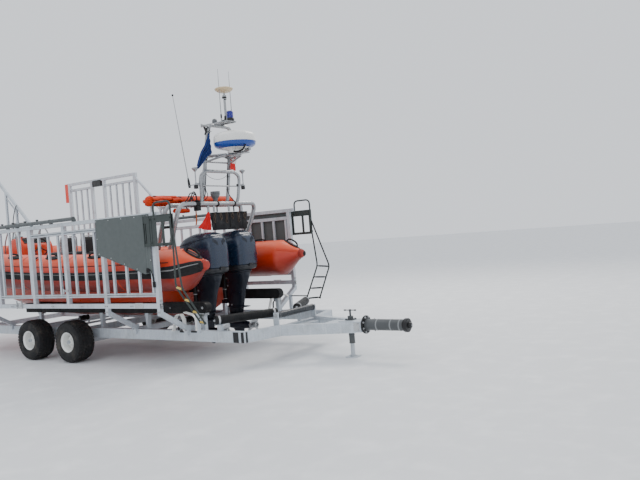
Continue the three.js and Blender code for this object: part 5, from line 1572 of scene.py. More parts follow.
def slant_z(x):
    return 1.242 + (x - 2.880) * 0.923


HANDRAIL_Y = 1.577
HANDRAIL_Z = 1.290


def make_bow_frame(name, side):
    frame_shape = SideShape(side)
    y0, y1 = FENCE_Y - 0.030, FENCE_Y + 0.030
    foot = TOP_Z + 0.0003
    block = frame_shape.block
    block(TALL_POSTS[0][0], FENCE_END, y0 + SEAT, y1 - SEAT, FRAME_TOP - 0.056, FRAME_TOP)
    for start, end in ((TALL_POSTS[0][0], TALL_POSTS[1][1]), (TALL_POSTS[2][0], FENCE_END)):
        block(start + 0.01, end - 0.01, FENCE_Y - 0.012, FENCE_Y - 0.006, 2.140, 2.192)
        block(start + 0.01, end - 0.01, FENCE_Y - 0.012, FENCE_Y + 0.026, 2.186, 2.192)
        block(start + 0.01, end - 0.01, FENCE_Y - 0.012, FENCE_Y + 0.026, 2.140, 2.146)
    for x0, x1 in TALL_POSTS:
        block(x0 + SEAT, x1 - SEAT, y0, y1, foot, FRAME_TOP - SEAT)
    for x in TALL_BARS:
        frame_shape.section_bar(x, 0.018, foot, 2.160)
    for x in (3.555, 3.280):
        frame_shape.section_bar(x, 0.020, foot, slant_z(x))
    low_end = 2.880 + (foot + 0.014 - 1.242) / 0.923
    frame_shape.tube([(low_end, side * FENCE_Y, slant_z(low_end)), (3.950, side * FENCE_Y, slant_z(3.950))],
                     0.028, 20)
    frame_shape.tube([(3.262, side * (FENCE_Y - 0.004), 1.480), (3.560, side * (FENCE_Y - 0.004), 1.764)],
                     0.014, 14)
    frame_shape.done(f"bow_frame_{name}_bars", BOAT, GALV, [f"bow_frame_{name}"], "galvanised_steel", 0.0025,
                     2, 50)
    beads = Shape()
    for x0, x1 in TALL_POSTS:
        beads.weld([(x0, side * (y1 - 0.001), 2.274), (x1, side * (y1 - 0.001), 2.274)], 0.003)
    beads.done(f"bow_frame_welds_{name}", BOAT, GALV_PALE, slot="galvanised_steel", angle=60)

    rail = SideShape(side)
    rail.rod((1.740, side * HANDRAIL_Y, HANDRAIL_Z), (4.030, side * HANDRAIL_Y, HANDRAIL_Z), 0.029, 28)
    for x in (1.742, 4.028):
        rail.turned([(0.0292, -0.004), (0.0310, 0), (0.0292, 0.004)], (x, side * HANDRAIL_Y, HANDRAIL_Z),
                    (1, 0, 0), 28)
    for x in (1.765, 2.350, 3.280, 3.555, 3.900):
        rail.block(x - 0.022, x + 0.022, 1.535, 1.578, foot, 1.285)
        rail.strap([(x, side * (HANDRAIL_Y + 0.031 * math.cos(a)), HANDRAIL_Z + 0.031 * math.sin(a))
                    for a in [math.tau * k / 24 for k in range(24)]], (1, 0, 0), 0.030, 0.003, loop=True)
    for x in (2.683, 3.017, 3.360, 3.680):
        knob = [(0.014, 1.316), (0.014, 1.324), (0.021, 1.328), (0.0225, 1.336), (0.020, 1.344),
                (0.010, 1.3465)]
        rail.turned(knob, (x, side * HANDRAIL_Y, 0), (0, 0, 1), 20)
    rail.tube(eased([(3.350, side * HANDRAIL_Y, 1.345), (3.335, side * 1.579, 1.400),
                     (3.290, side * 1.582, 1.500),
                     (3.235, side * 1.582, 1.590), (3.200, side * 1.580, 1.617)], 6), 0.008, 12)
    rail.done(f"top_rail_{name}", BOAT, DARK_PIPE, slot="grey_paint", bevel=0.0012)

    lamp_box = SideShape(side)
    lamp_box.block(5.030, 5.310, FENCE_Y - 0.045, FENCE_Y + 0.042, 2.168, 2.300)
    for k in range(7):
        x = 5.055 + 0.038 * k
        lamp_box.block(x, x + 0.012, FENCE_Y + 0.040, FENCE_Y + 0.0448, 2.180, 2.288)
    for x in (5.04, 5.30):
        for z in (2.18, 2.29):
            lamp_box.bolt((x, side * (FENCE_Y + 0.042), z), (0, side, 0), 0.005)
    lamp_box.done(f"bow_lamp_box_{name}", BOAT, BLACK, slot="black_metal", bevel=0.004)
    board = SideShape(side)
    board.block(6.194, 6.345, FENCE_Y - 0.008, FENCE_Y + 0.008, 1.905, 2.326)
    for z in (1.93, 2.30):
        board.bolt((6.165, side * (FENCE_Y + 0.030), z), (0, side, 0), 0.008)
    board.done(f"end_board_{name}", BOAT, RED, slot="orange_hull", bevel=0.003)


def make_panel(name, side):
    """Flat sheet outside the fence, with its folded edges, stiffening folds and fixings."""
    sheet = SideShape(side)
    low, high = side * (FENCE_Y + 0.0303), side * (FENCE_Y + 0.0345)
    outline = [(0.110, 1.228), (0.110, 0.430), (0.255, 0.408), (1.146, 0.689), (1.268, 0.713), (1.258, 1.228)]
    sheet.plate(outline, "XZ", low, high)
    for x, z0, z1 in ((0.225, 0.415, 1.226), (0.178, 0.422, 1.226)):
        sheet.block(x - 0.004, x + 0.004, FENCE_Y + 0.0340, FENCE_Y + 0.0360, z0, z1)
    sheet.block(0.230, 1.070, FENCE_Y + 0.0340, FENCE_Y + 0.0358, 0.677, 0.683)
    for p, q in zip(outline, outline[1:] + outline[:1]):
        sheet.tube([(p[0], high, p[1]), (q[0], high, q[1])], 0.0016, 8)
    sheet.done(f"panel_sheet_{name}", BOAT, PANEL, [f"panel_{name}"], "grey_paint", 0.0008)
    rivets = SideShape(side)
    for x, z in ((0.13, 1.20), (0.13, 0.90), (0.13, 0.60), (0.40, 1.205), (0.68, 1.205), (0.96, 1.205),
                 (1.24, 1.205), (1.24, 0.95), (1.22, 0.73), (0.96, 0.66), (0.68, 0.565), (0.42, 0.485)):
        rivets.turned([(0.008, 0), (0.007, 0.0020), (0.003, 0.0028)], (x, high, z), (0, side, 0), 14)
    rivets.done(f"panel_rivets_{name}", BOAT, STEEL, slot="steel_shaft", angle=60)
    strap = SideShape(side)
    y = side * (FENCE_Y + 0.038)
    strap.strap(eased([(0.215, y, 0.475), (0.165, y, 0.470), (0.125, y, 0.440), (0.110, y, 0.370),
                       (0.098, y, 0.300), (0.085, y, 0.252)], 6), (0.6, 0, 0.8), 0.045, 0.005)
    strap.block(0.170, 0.225, FENCE_Y + 0.034, FENCE_Y + 0.046, 0.425, 0.478)
    strap.block(0.070, 0.112, FENCE_Y + 0.031, FENCE_Y + 0.050, 0.225, 0.300)
    strap.bolt((0.198, side * (FENCE_Y + 0.046), 0.452), (0, side, 0), 0.008)
    strap.done(f"panel_latch_{name}", BOAT, RUBBER, slot="black_rubber", bevel=0.002)


GATE_Y = 1.597
GATE_AFT = 0.375


def make_ladder(name, side):
    gate = SideShape(side)
    outer, inner = 1.606, 1.590
    end = 0.190 if side > 0 else 0.110
    uprights = [(-GATE_AFT, -0.322), (-0.212, -0.172)]
    uprights += [(-0.065, 0.132), (0.148, 0.160), (0.176, 0.190)] if side > 0 else [(0.002, 0.110)]
    for x0, x1, z0, z1 in [(-GATE_AFT, end, 0.780, 0.822), (-GATE_AFT, end, 1.100, 1.200)] + [
            (x0, x1, 0.820, 1.102) for x0, x1 in uprights]:
        gate.block(x0, x1, inner, outer - 0.004, z0, z1)
    for x0, x1, z0, z1 in ((-GATE_AFT, end, 0.780, 0.790), (-GATE_AFT, end, 1.190, 1.200),
                           (-GATE_AFT, -0.366, 0.78, 1.20),
                           (end - 0.009, end, 0.78, 1.20), (0.020, 0.030, 0.79, 1.19),
                           (0.060, 0.070, 0.79, 1.19)):
        gate.block(x0, x1, outer - 0.005, outer, z0, z1)
    gate.tube(rounded([(-0.357, side * GATE_Y, 1.190), (-0.357, side * GATE_Y, 1.370),
                       (-0.030, side * GATE_Y, 1.370), (-0.030, side * GATE_Y, 1.190)], 0.110, 9), 0.0135, 18)
    for z0, z1 in ((0.800, 0.860), (1.120, 1.180)):
        gate.block(0.020, 0.064, 1.5653, 1.592, z0, z1)
        gate.bolt((0.042, side * outer, (z0 + z1) / 2), (0, side, 0), 0.009)
    gate.block(-GATE_AFT, -0.357, 1.570, 1.606, 0.780, 1.200)
    for x, z in ((-0.34, 0.80), (-0.19, 0.80), (-0.34, 1.15), (-0.04, 1.15)):
        gate.bolt((x, side * outer, z), (0, side, 0), 0.007)
    gate.done(f"gate_{name}", BOAT, GATE, [f"ladder_{name}"], "black_metal", 0.0015)

    foot_a, foot_b = Vector((-0.395, side * 1.240, -0.307)), Vector((-0.590, side * 1.352, -0.299))
    knee_a, knee_b = Vector((-0.395, side * 1.640, 0.235)), Vector((-0.590, side * 1.716, 0.212))
    ladder = Shape()
    for top, knee, foot in (((-0.362, side * GATE_Y, 0.830), knee_a, foot_a),
                            ((-0.372, side * GATE_Y, 1.000), knee_b, foot_b)):
        ladder.tube(rounded([top, knee, foot], 0.06, 6), 0.0125, 16)
        ladder.tube([foot + Vector((0, 0.012 * side, 0.018)), foot - Vector((0, 0.001 * side, 0.002))], 0.017,
                    16)
        ladder.bolt((-0.372, side * 1.606, top[2] - 0.005), (0, side, 0), 0.008)
    ladder.tube(rounded([(-0.2153, side * 1.080, -0.222), (-0.300, side * 1.080, -0.222),
                         (-0.396, side * 1.283, -0.250)], 0.04, 5), 0.010, 12)
    # Painted light: the near ladder's rails take the lighter gate paint as if lit, the far ladder's rails
    # black as if in shade; both are one material.
    ladder.done(f"ladder_rails_{name}", BOAT, GATE if side > 0 else BLACK, slot="black_metal", bevel=0.001)

    rungs, grips = Shape(), Shape()
    for t in (0.02, 0.35, 0.68, 0.97):
        p, q = knee_a.lerp(foot_a, t), knee_b.lerp(foot_b, t)
        rungs.tube([p, q], 0.010, 14)
        near, far = p.lerp(q, 0.14), p.lerp(q, 0.86)
        grips.tube([near.lerp(far, k / 24) for k in range(25)],
                   lambda u: 0.0135 + 0.0012 * math.cos(math.tau * 12 * u), 14)
    rungs.done(f"ladder_rungs_{name}", BOAT, BLACK, slot="black_metal")
    grips.done(f"rung_grips_{name}", BOAT, YELLOW if side > 0 else RUBBER, slot="black_rubber", angle=60)


# Running gear

FLOOR_Z = -0.950
TYRE_R = 0.330
WHEEL_Z = FLOOR_Z + TYRE_R
TYRE_Y = 1.310
AXLES = (2.350, 3.400)


def make_wheel(side_name, side, number, x):
    body = f"wheel_{side_name}_{number}"
    mid = side * TYRE_Y
    half = 0.155
    tyre = Shape()
    profile = [(0.157, -half + 0.022), (0.175, -half + 0.010), (0.205, -half + 0.002), (0.235, -half + 0.001),
               (0.268, -half + 0.005), (0.292, -half + 0.016), (0.306, -half + 0.032), (0.315, -half + 0.056),
               (0.3175, -half + 0.080), (0.3185, 0)]
    outline = profile + [(r, -h) for r, h in reversed(profile[:-1])]
    tyre.turned(outline, (x, mid, WHEEL_Z), (0, 1, 0), 72, loop=True)
    for r, h in ((0.214, 0.1545), (0.248, 0.1535), (0.276, 0.146)):
        for end in (-1, 1):
            tyre.turned([(r - 0.003, end * (h - 0.002)), (r, end * (h + 0.0006)),
                         (r + 0.003, end * (h - 0.002))],
                        (x, mid, WHEEL_Z), (0, 1, 0), 72, loop=True)
    blocks = 40
    for k in range(blocks):
        for row, (low, high,
                  skew) in enumerate(((-0.140, -0.088, 0.5), (-0.078, -0.030, -0.4), (-0.020, 0.020, 0.35),
                                                 (0.030, 0.078, -0.4), (0.088, 0.140, 0.5))):
            base = math.tau * (k + 0.5 * (row % 2)) / blocks
            wide = math.tau / blocks * 0.38
            corners = []
            for h, lean in ((low, -0.5), (high, 0.5)):
                for turn in (-1, 1):
                    corners.append((h, base + turn * wide + lean * skew * wide))
            rows = []
            for grow in (-0.020, 0.0):
                ring = []
                for i in (0, 1, 3, 2):
                    h, a = corners[i]
                    r = (0.3100 if abs(h) > 0.13 else 0.3294) + grow
                    ring.append((x + r * math.cos(a), mid + h, WHEEL_Z + r * math.sin(a)))
                rows.append(ring)
            tyre.skin(rows)
    tyre.done(f"tyre_tread_{side_name}_{number}", body, TYRE, [f"tyre_{side_name}_{number}"], "tyre",
              angle=32)

    rim = Shape()
    rim.turned([(0.1555, -half + 0.012), (0.160, -half + 0.018), (0.157, -half + 0.030),
                (0.142, -half + 0.040),
                (0.140, half - 0.040), (0.157, half - 0.030), (0.160, half - 0.018), (0.1555, half - 0.012),
                (0.150, half - 0.020), (0.134, half - 0.034), (0.130, 0.020), (0.128, -half + 0.034),
                (0.150, -half + 0.020)], (x, mid, WHEEL_Z), (0, 1, 0), 56, loop=True)
    face = eased([(0.131, 0.018), (0.120, 0.024), (0.108, 0.034), (0.092, 0.040), (0.078, 0.034),
                  (0.060, 0.030)], 3)
    outer = [(p.x, side * p.y) for p in face]
    inner = [(p.x, side * (p.y - 0.006)) for p in reversed(face)]
    rim.turned(outer + inner, (x, mid, WHEEL_Z), (0, 1, 0), 56, loop=True)
    hub = [(0.060, -0.088), (0.060, 0.028), (0.050, 0.034), (0.046, 0.080), (0.040, 0.092), (0.031, 0.0945)]
    rim.turned([(0.031, -0.088)] + hub, (x, mid, WHEEL_Z), (0, side, 0), 40)
    for k in range(5):
        a = math.tau * k / 5
        place = (x + 0.078 * math.cos(a), mid + side * 0.033, WHEEL_Z + 0.078 * math.sin(a))
        rim.turned([(0.015, 0), (0.015, 0.003)], place, (0, side, 0), 16)
        rim.turned([(0.011, 0.002), (0.011, 0.014), (0.008, 0.018), (0.003, 0.019)], place, (0, side, 0), 6)
    for k in range(8):
        a = math.tau * (k + 0.5) / 8
        place = (x + 0.112 * math.cos(a), mid + side * 0.0290, WHEEL_Z + 0.112 * math.sin(a))
        rim.turned([(0.0115, 0.0), (0.0130, 0.0025), (0.0105, 0.0028)], place, (0, side, 0), 16)
    rim.turned([(0.0035, 0), (0.0035, 0.02), (0.0045, 0.021), (0.0045, 0.032)],
               (x + 0.125, mid + side * 0.026, WHEEL_Z), (0.2, side, 0), 10)
    rim.done(f"rim_disc_{side_name}_{number}", body, WHITE, [f"rim_{side_name}_{number}"], "white_paint",
             angle=35)


def make_axle_fittings():
    steel = Shape()
    for x in AXLES:
        for _, side in SIDES:
            for dx in (-0.085, 0.085):
                for y in (0.990, 1.050):
                    steel.bolt((x + dx, side * y, -0.612), (0, 0, -1), 0.012)
            steel.turned([(0.0305, 0), (0.058, 0.002), (0.060, 0.010), (0.058, 0.018), (0.0305, 0.020)],
                         (x, side * 1.112, WHEEL_Z), (0, side, 0), 32)
            steel.turned([(0.020, 0), (0.020, 0.010), (0.010, 0.012)], (x, side * 1.440, WHEEL_Z),
                         (0, side, 0), 6)
            steel.weld([(x - 0.046, side * 0.968, -0.604), (x + 0.046, side * 0.968, -0.604)], 0.004)
    steel.done("axle_fittings", BOAT, STEEL, slot="steel_shaft")


SIDE_HOOP_Y = 1.098


def make_chassis_details():
    welds, steel, dark, pale = Shape(), Shape(), Shape(), Shape()
    for x in (-0.960, 0.760, 1.700, 2.870, 4.400, 6.005):
        for _, side in SIDES:
            y = side * 0.9745
            welds.weld([(x - 0.046, y, -0.590), (x - 0.046, y, -0.507)], 0.004)
            welds.weld([(x + 0.046, y, -0.507), (x + 0.046, y, -0.590)], 0.004)
            welds.weld([(x - 0.046, y, -0.504), (x + 0.046, y, -0.504)], 0.004)
    for x in (0.057, 1.162, 4.500, 5.300, 6.010):
        for _, side in SIDES:
            welds.weld([(x - 0.036, side * 1.066, -0.510), (x - 0.036, side * 1.066, -0.452)], 0.004)
            welds.weld([(x + 0.036, side * 1.066, -0.452), (x + 0.036, side * 1.066, -0.510)], 0.004)
            for dx in (-0.020, 0.020):
                steel.bolt((x + dx, side * (FENCE_Y + 0.028), -0.120), (0, side, 0), 0.010)
            steel.bolt((x, side * 1.100, -0.440), (0, side, 0), 0.012)
    for _, side in SIDES:
        for z in (-0.480, -0.570):
            steel.bolt((-1.128, side * 0.500, z), (-1, side * 0.28, 0), 0.016)
            steel.bolt((-1.160, side * 0.455, z), (-1, side * 0.34, 0), 0.016)
        dark.bar((-0.852, side * 1.0655, -0.528), (-0.852, side * 1.0725, -0.528), 0.095, 0.142)
        dark.bar((-0.985, side * 1.052, -0.526), (-0.996, side * 1.062, -0.526), 0.085, 0.142)
        dark.box(0.03, 0.20, side * 1.0655, side * 1.085, -0.478, -0.446)
        dark.box(-0.13, -0.02, side * 1.0655, side * 1.080, -0.476, -0.450)
        pale.strap(rounded([(0.300, side * SIDE_HOOP_Y, -0.448), (0.225, side * SIDE_HOOP_Y, -0.230),
                            (0.120, side * SIDE_HOOP_Y, -0.205), (0.075, side * SIDE_HOOP_Y, -0.280),
                            (0.075, side * SIDE_HOOP_Y, -0.448)], 0.07, 7), (0, 1, 0), 0.060, 0.014)
        pale.strap(rounded([(0.050, side * SIDE_HOOP_Y, -0.182), (-0.130, side * SIDE_HOOP_Y, -0.222),
                            (-0.176, side * SIDE_HOOP_Y, -0.270), (-0.176, side * SIDE_HOOP_Y, -0.440)], 0.05,
                           6),
                   (0, 1, 0), 0.060, 0.014)
        dark.strap(rounded([(0.205, side * 1.090, -0.448), (0.200, side * 1.090, -0.330),
                            (0.150, side * 1.090, -0.290), (0.120, side * 1.090, -0.340)], 0.04, 6),
                   (0, 1, 0), 0.030, 0.014)
        steel.box(-2.235, -1.95, side * 0.130, side * 0.136, -0.575, -0.455)
        for x in (-2.21, -2.10, -1.98):
            for z in (-0.560, -0.470):
                steel.bolt((x, side * 0.136, z), (0, side, 0), 0.010)
        welds.weld([(-1.905, side * 0.131, -0.590), (-1.905, side * 0.131, -0.442)], 0.005)
        for x in (1.100, 2.200, 3.900):
            for dx in (-0.022, 0.022):
                steel.bolt((x + dx, side * 0.920, -0.563), (0, 0, 1), 0.010)
    pale.box(0.28, 0.33, 1.070, 1.120, -0.456, -0.444)
    welds.done("chassis_welds", BOAT, GALV, slot="galvanised_steel", angle=60)
    steel.done("chassis_bolts", BOAT, STEEL, slot="steel_shaft", bevel=0.001)
    dark.done("chassis_clamps", BOAT, BLACK, slot="black_metal", bevel=0.003)
    pale.done("chassis_hoops", BOAT, WHITE, slot="white_paint", bevel=0.002)


def make_hitch():
    """Flanged box end and sprung coupler, with its bands, gaiter and jaw."""
    hitch = Shape()
    root, aft = (-2.250, 0, -0.500), (-1, 0, 0)
    hitch.turned([(0.080, 0.024), (0.084, 0.026), (0.084, 0.040), (0.0765, 0.044), (0.0760, 0.590)], root,
                 aft, 48)
    hitch.coat = 1
    hitch.turned([(0.122, 0.0005), (0.125, 0.003), (0.125, 0.022), (0.121, 0.0255)], root, aft, 48)
    hitch.turned([(0.060, 0.586), (0.085, 0.600), (0.092, 0.612), (0.092, 0.652), (0.085, 0.660),
                  (0.050, 0.662)],
                 root, aft, 48)
    hitch.turned([(0.040, 0.650), (0.040, 0.686), (0.034, 0.696), (0.020, 0.6995)], root, aft, 36)
    hitch.coat = 2
    for start in (0.190, 0.400, 0.530):
        hitch.turned([(0.0758, start), (0.0785, start + 0.003), (0.0785, start + 0.017),
                      (0.0758, start + 0.020)],
                     root, aft, 48)
    hitch.done("hitch_coupler", BOAT, [GREY, BLACK, PLASTIC], ["hitch"], "grey_paint", angle=35)
    bolts = Shape()
    for k in range(8):
        a = math.tau * (k + 0.5) / 8
        bolts.bolt((-2.2755, 0.106 * math.cos(a), -0.500 + 0.106 * math.sin(a)), (-1, 0, 0), 0.010)
    for z in (1, -1):
        bolts.turned([(0.010, 0), (0.012, 0.004), (0.004, 0.014)], (-2.400, 0, -0.500 + 0.076 * z), (0, 0, z),
                     14)
    bolts.turned([(0.014, 0), (0.014, 0.010), (0.008, 0.012)], (-2.9485, 0, -0.500), (-1, 0, 0), 6)
    bolts.done("hitch_bolts", BOAT, STEEL, slot="steel_shaft")


def make_jack():
    x = -2.020
    tube = Shape()
    tube.turned([(0.0303, -0.760), (0.0395, -0.760), (0.0400, -0.757), (0.0400, -0.447), (0.0400, -0.386),
                 (0.036, -0.384), (0.002, -0.382), (0.002, -0.400), (0.0303, -0.400)], (x, 0, 0), (0, 0, 1),
                36, loop=True)
    for z in (-0.752, -0.640):
        tube.turned([(0.0400, z - 0.006), (0.0440, z - 0.004), (0.0440, z + 0.004), (0.0400, z + 0.006)],
                    (x, 0, 0), (0, 0, 1), 36)
    tube.box(x - 0.060, x + 0.060, -0.060, 0.060, -0.4395, -0.4255)
    for dx in (-0.045, 0.045):
        for y in (-0.045, 0.045):
            tube.bolt((x + dx, y, -0.4255), (0, 0, 1), 0.008)
    tube.turned([(0.014, -0.384), (0.014, -0.316), (0.018, -0.312), (0.018, -0.294), (0.010, -0.292)],
                (x, 0, 0), (0, 0, 1), 20)
    bar = [Vector((x - 0.095 + 0.19 * k / 24, 0, -0.305)) for k in range(25)]
    tube.tube(bar, lambda t: 0.0065 + 0.0045 * (abs(t - 0.5) > 0.36), 14)
    tube.done("jack_barrel", BOAT, GREY, ["jack_tube"], "grey_paint", angle=35)
    leg = Shape()
    leg.turned([(0.0296, -0.930), (0.0296, -0.565), (0.026, -0.561)], (x, 0, 0), (0, 0, 1), 36)
    leg.turned([(0.044, -0.9380), (0.040, -0.928), (0.0300, -0.915)], (x, 0, 0), (0, 0, 1), 32)
    corner = arc((x + 0.062, 0.062, 0), 0.028, 0, 90, 5, "XY")
    outline = []
    for sx, sy in ((1, 1), (-1, 1), (-1, -1), (1, -1)):
        part = [(x + sx * (p.x - x), sy * p.y) for p in corner]
        outline += part if sx * sy > 0 else part[::-1]
    leg.plate(outline, "XY", FLOOR_Z, FLOOR_Z + 0.012)
    for way in (1, -1):
        gusset = [(0.028, -0.938), (0.075, -0.938), (0.030, -0.914)]
        leg.plate([(x + way * a, b) for a, b in gusset], "XZ", -0.003, 0.003)
        leg.plate([(way * a, b) for a, b in gusset], "YZ", x - 0.003, x + 0.003)
    leg.done("jack_foot_leg", "jack_foot", GALV, ["jack_leg"], "galvanised_steel", angle=35)


ROLLER_R = 0.0455
ROLLER_END = 0.4407


def make_fenders_and_rollers():
    steel = Shape()
    for name, side in SIDES:
        start, end = Vector((-0.930, side * 0.240, -0.300)), Vector((-0.501, side * 1.080, -0.300))
        along = (end - start).normalized()
        length = (end - start).length
        profile = [(0.020, 0), (0.045, 0.001), (0.058, 0.008), (0.062, 0.022)]
        for k in range(13):
            h = 0.050 + (length - 0.100) * k / 12
            profile += [(0.0620, h - 0.006), (0.0595, h - 0.003), (0.0595, h + 0.003), (0.0620, h + 0.006)]
        profile += [(0.062, length - 0.022), (0.058, length - 0.008), (0.045, length - 0.001),
                    (0.020, length)]
        fender = Shape()
        fender.turned(profile, start, along, 32)
        fender.done(f"fender_tube_{name}", BOAT, RUBBER, [f"fender_{name}"], "black_rubber", angle=35)
        for t in (0.06, 0.94):
            steel.turned([(0.0622, -0.014), (0.0645, -0.012), (0.0645, 0.012), (0.0622, 0.014)],
                         start.lerp(end, t), along, 32)
        for place, way in ((start, -1), (end, 1)):
            steel.bolt(place, along * way, 0.013)
        steel.bolt((-1.080, side * 0.461, -0.320), (0, side, 0), 0.018)
    roller = Shape()
    profile = [(0.020, -ROLLER_END), (0.0460, -ROLLER_END), (0.0480, -0.437), (0.0480, -0.420),
               (ROLLER_R, -0.416)]
    for k in range(1, 12):
        y = -0.420 + 0.07 * k
        profile += [(ROLLER_R, y - 0.003), (0.0465, y - 0.002), (0.0465, y + 0.002), (ROLLER_R, y + 0.003)]
    profile += [(ROLLER_R, 0.416), (0.0480, 0.420), (0.0480, 0.437), (0.0460, ROLLER_END),
                (0.020, ROLLER_END)]
    roller.turned(profile, (-1.080, 0, -0.320), (0, 1, 0), 40)
    roller.done("stern_roller_tube", "roller_stern", DARK_STEEL, ["stern_roller"], "grey_paint", angle=35)
    for number, x in ((1, 1.100), (2, 3.900)):
        keel = Shape()
        profile = [(0.014, -0.0957), (0.040, -0.0957), (0.0490, -0.090), (0.0500, -0.082), (0.0470, -0.070)]
        profile += [(ROLLER_R - 0.004 * math.cos(k * math.pi / 8), -0.056 + 0.007 * k) for k in range(17)]
        profile += [(0.0470, 0.070), (0.0500, 0.082), (0.0490, 0.090), (0.040, 0.0957), (0.014, 0.0957)]
        keel.turned(profile, (x, 0, -0.458), (0, 1, 0), 40)
        keel.done(f"keel_roller_tread_{number}", f"roller_{number}", RUBBER, [f"keel_roller_{number}"],
                  "black_rubber", angle=35)
        for way in (-1, 1):
            steel.bolt((x, way * 0.108, -0.458), (0, way, 0), 0.014)
    steel.done("roller_fixings", BOAT, STEEL, slot="steel_shaft", angle=35)


def make_bunk_fittings():
    ribs, bolts = Shape(), Shape()
    for _, side in SIDES:
        for z in (-0.205, -0.168, -0.131, -0.094):
            ribs.bar((-0.110, side * 0.9015, z), (4.296, side * 0.9015, z), 0.005, 0.012)
        for x in (0.55, 1.10, 1.65, 2.20, 2.75, 3.30, 3.85):
            ribs.box(x - 0.022, x + 0.022, side * 0.900, side * 0.9055, -0.228, -0.072)
            bolts.bolt((x, side * 0.9055, -0.150), (0, side, 0), 0.006)
        ribs.turned([(0.074, 0.000), (0.074, 0.005), (0.066, 0.008), (0.050, 0.008), (0.046, 0.003)],
                    (-0.110, side * 0.9003, -0.150), (0, side, 0), 36)
        bolts.box(-0.125, -0.060, side * 0.897, side * 0.912, -0.330, -0.225)
        bolts.bolt((-0.110, side * 0.9033, -0.150), (0, side, 0), 0.012)
        for x in (-0.090, 1.100, 2.200, 3.900):
            for off in (-0.040, 0.040):
                bolts.box(x + off - 0.004, x + off + 0.004, side * 0.800, side * 0.893, -0.262, -0.2303)
    ribs.done("bunk_ribs", BOAT, RUBBER, slot="black_rubber", bevel=0.0015)
    bolts.done("bunk_bolts", BOAT, STEEL, slot="steel_shaft")


# Hull fittings and what stands on the deck


def deck_at(x):
    return DECK_Z + max(0.0, x - 2.600) / 15


def cushion(shape, low, high, run, radius, crown, pleats=()):
    """A crowned pad in a box, its sections set along the axis run; returns its corner lines."""
    low, high = Vector(low), Vector(high)
    u, v = [k for k in range(3) if k != run]
    middle, half = (low + high) / 2, (high - low) / 2
    length = high[run] - low[run]
    steps = max(16, int(length / 0.012))
    spots = [length * (0.5 - 0.5 * math.cos(math.pi * k / 6)) * 0.16 for k in range(6)]
    inner = [spots[-1] + (length - 2 * spots[-1]) * k / steps for k in range(1, steps)]
    places = spots + inner + [length - s for s in reversed(spots)]
    rows = []
    for place in places:
        edge = min(place, length - place)
        pull = 0.0 if edge >= radius else radius - math.sqrt(max(0.0, radius ** 2 - (radius - edge) ** 2))
        pull += sum(0.007 * math.exp(-((place - p * length) / 0.010) ** 2) for p in pleats)
        row = []
        for k in range(48):
            a = math.tau * k / 48
            c, s = math.cos(a), math.sin(a)
            reach = (abs(c) ** 5 + abs(s) ** 5) ** -0.2
            p = middle.copy()
            p[run] = low[run] + place
            across = reach * c
            full = 1 - crown * across ** 2 * 0.5 - crown * 0.5 * (2 * place / length - 1) ** 2
            p[u] = middle[u] + (half[u] - pull) * across * (1 - crown * 0.12 * abs(reach * s) ** 2)
            p[v] = middle[v] + (half[v] * full - pull) * reach * s
            row.append(p)
        rows.append(row)
    shape.skin(rows)
    return [[row[k] for row in rows[2:-2]] for k in (6, 18, 30, 42)]


def make_seats():
    """Four straddle seats with backrests on one long pad, each a crowned pad with piped edges."""
    pads, piping, plates, backs = Shape(), Shape(), Shape(), Shape()
    for x in (2.250, 2.880, 3.510, 4.140):
        base = 0.640 + (x - 2.200) / 2.550 * 0.060 + 0.040
        lines = cushion(pads, (x + 0.105, -0.165, base - 0.012), (x + 0.525, 0.165, base + 0.088), 0, 0.040,
                        0.20, (0.32, 0.64))
        lines += cushion(pads, (x + 0.020, -0.165, base + 0.045), (x + 0.110, 0.165, base + 0.342), 2, 0.035,
                         0.16, (0.42,))
        for line in lines:
            piping.tube(line, 0.0042, 6)
        plates.box(x + 0.012, x + 0.030, -0.120, 0.120, base - 0.020, base + 0.290)
        for _, side in SIDES:
            backs.tube(rounded([(x + 0.030, side * 0.172, base - 0.010),
                                (x + 0.030, side * 0.172, base + 0.360),
                                (x + 0.030, side * 0.020, base + 0.360)], 0.05), 0.012, 12)
    long_pad = cushion(pads, (2.210, -0.140, 0.636), (4.740, 0.140, 0.752), 0, 0.030, 0.05,
                       [0.07 + 0.0625 * k for k in range(15)])
    for line in long_pad:
        piping.tube(line, 0.0042, 6)
    seats = pads.done("seat_cushions", BOAT, VINYL, ["seats"], "black_vinyl", angle=60)
    piping.done("seat_piping", BOAT, RUBBER_PALE, slot="black_rubber", angle=60)
    plates.done("seat_back_plates", BOAT, BLACK, slot="black_metal", bevel=0.003)
    backs.done("seat_frames", BOAT, ALLOY, slot="alloy_tube", bevel=0.003)


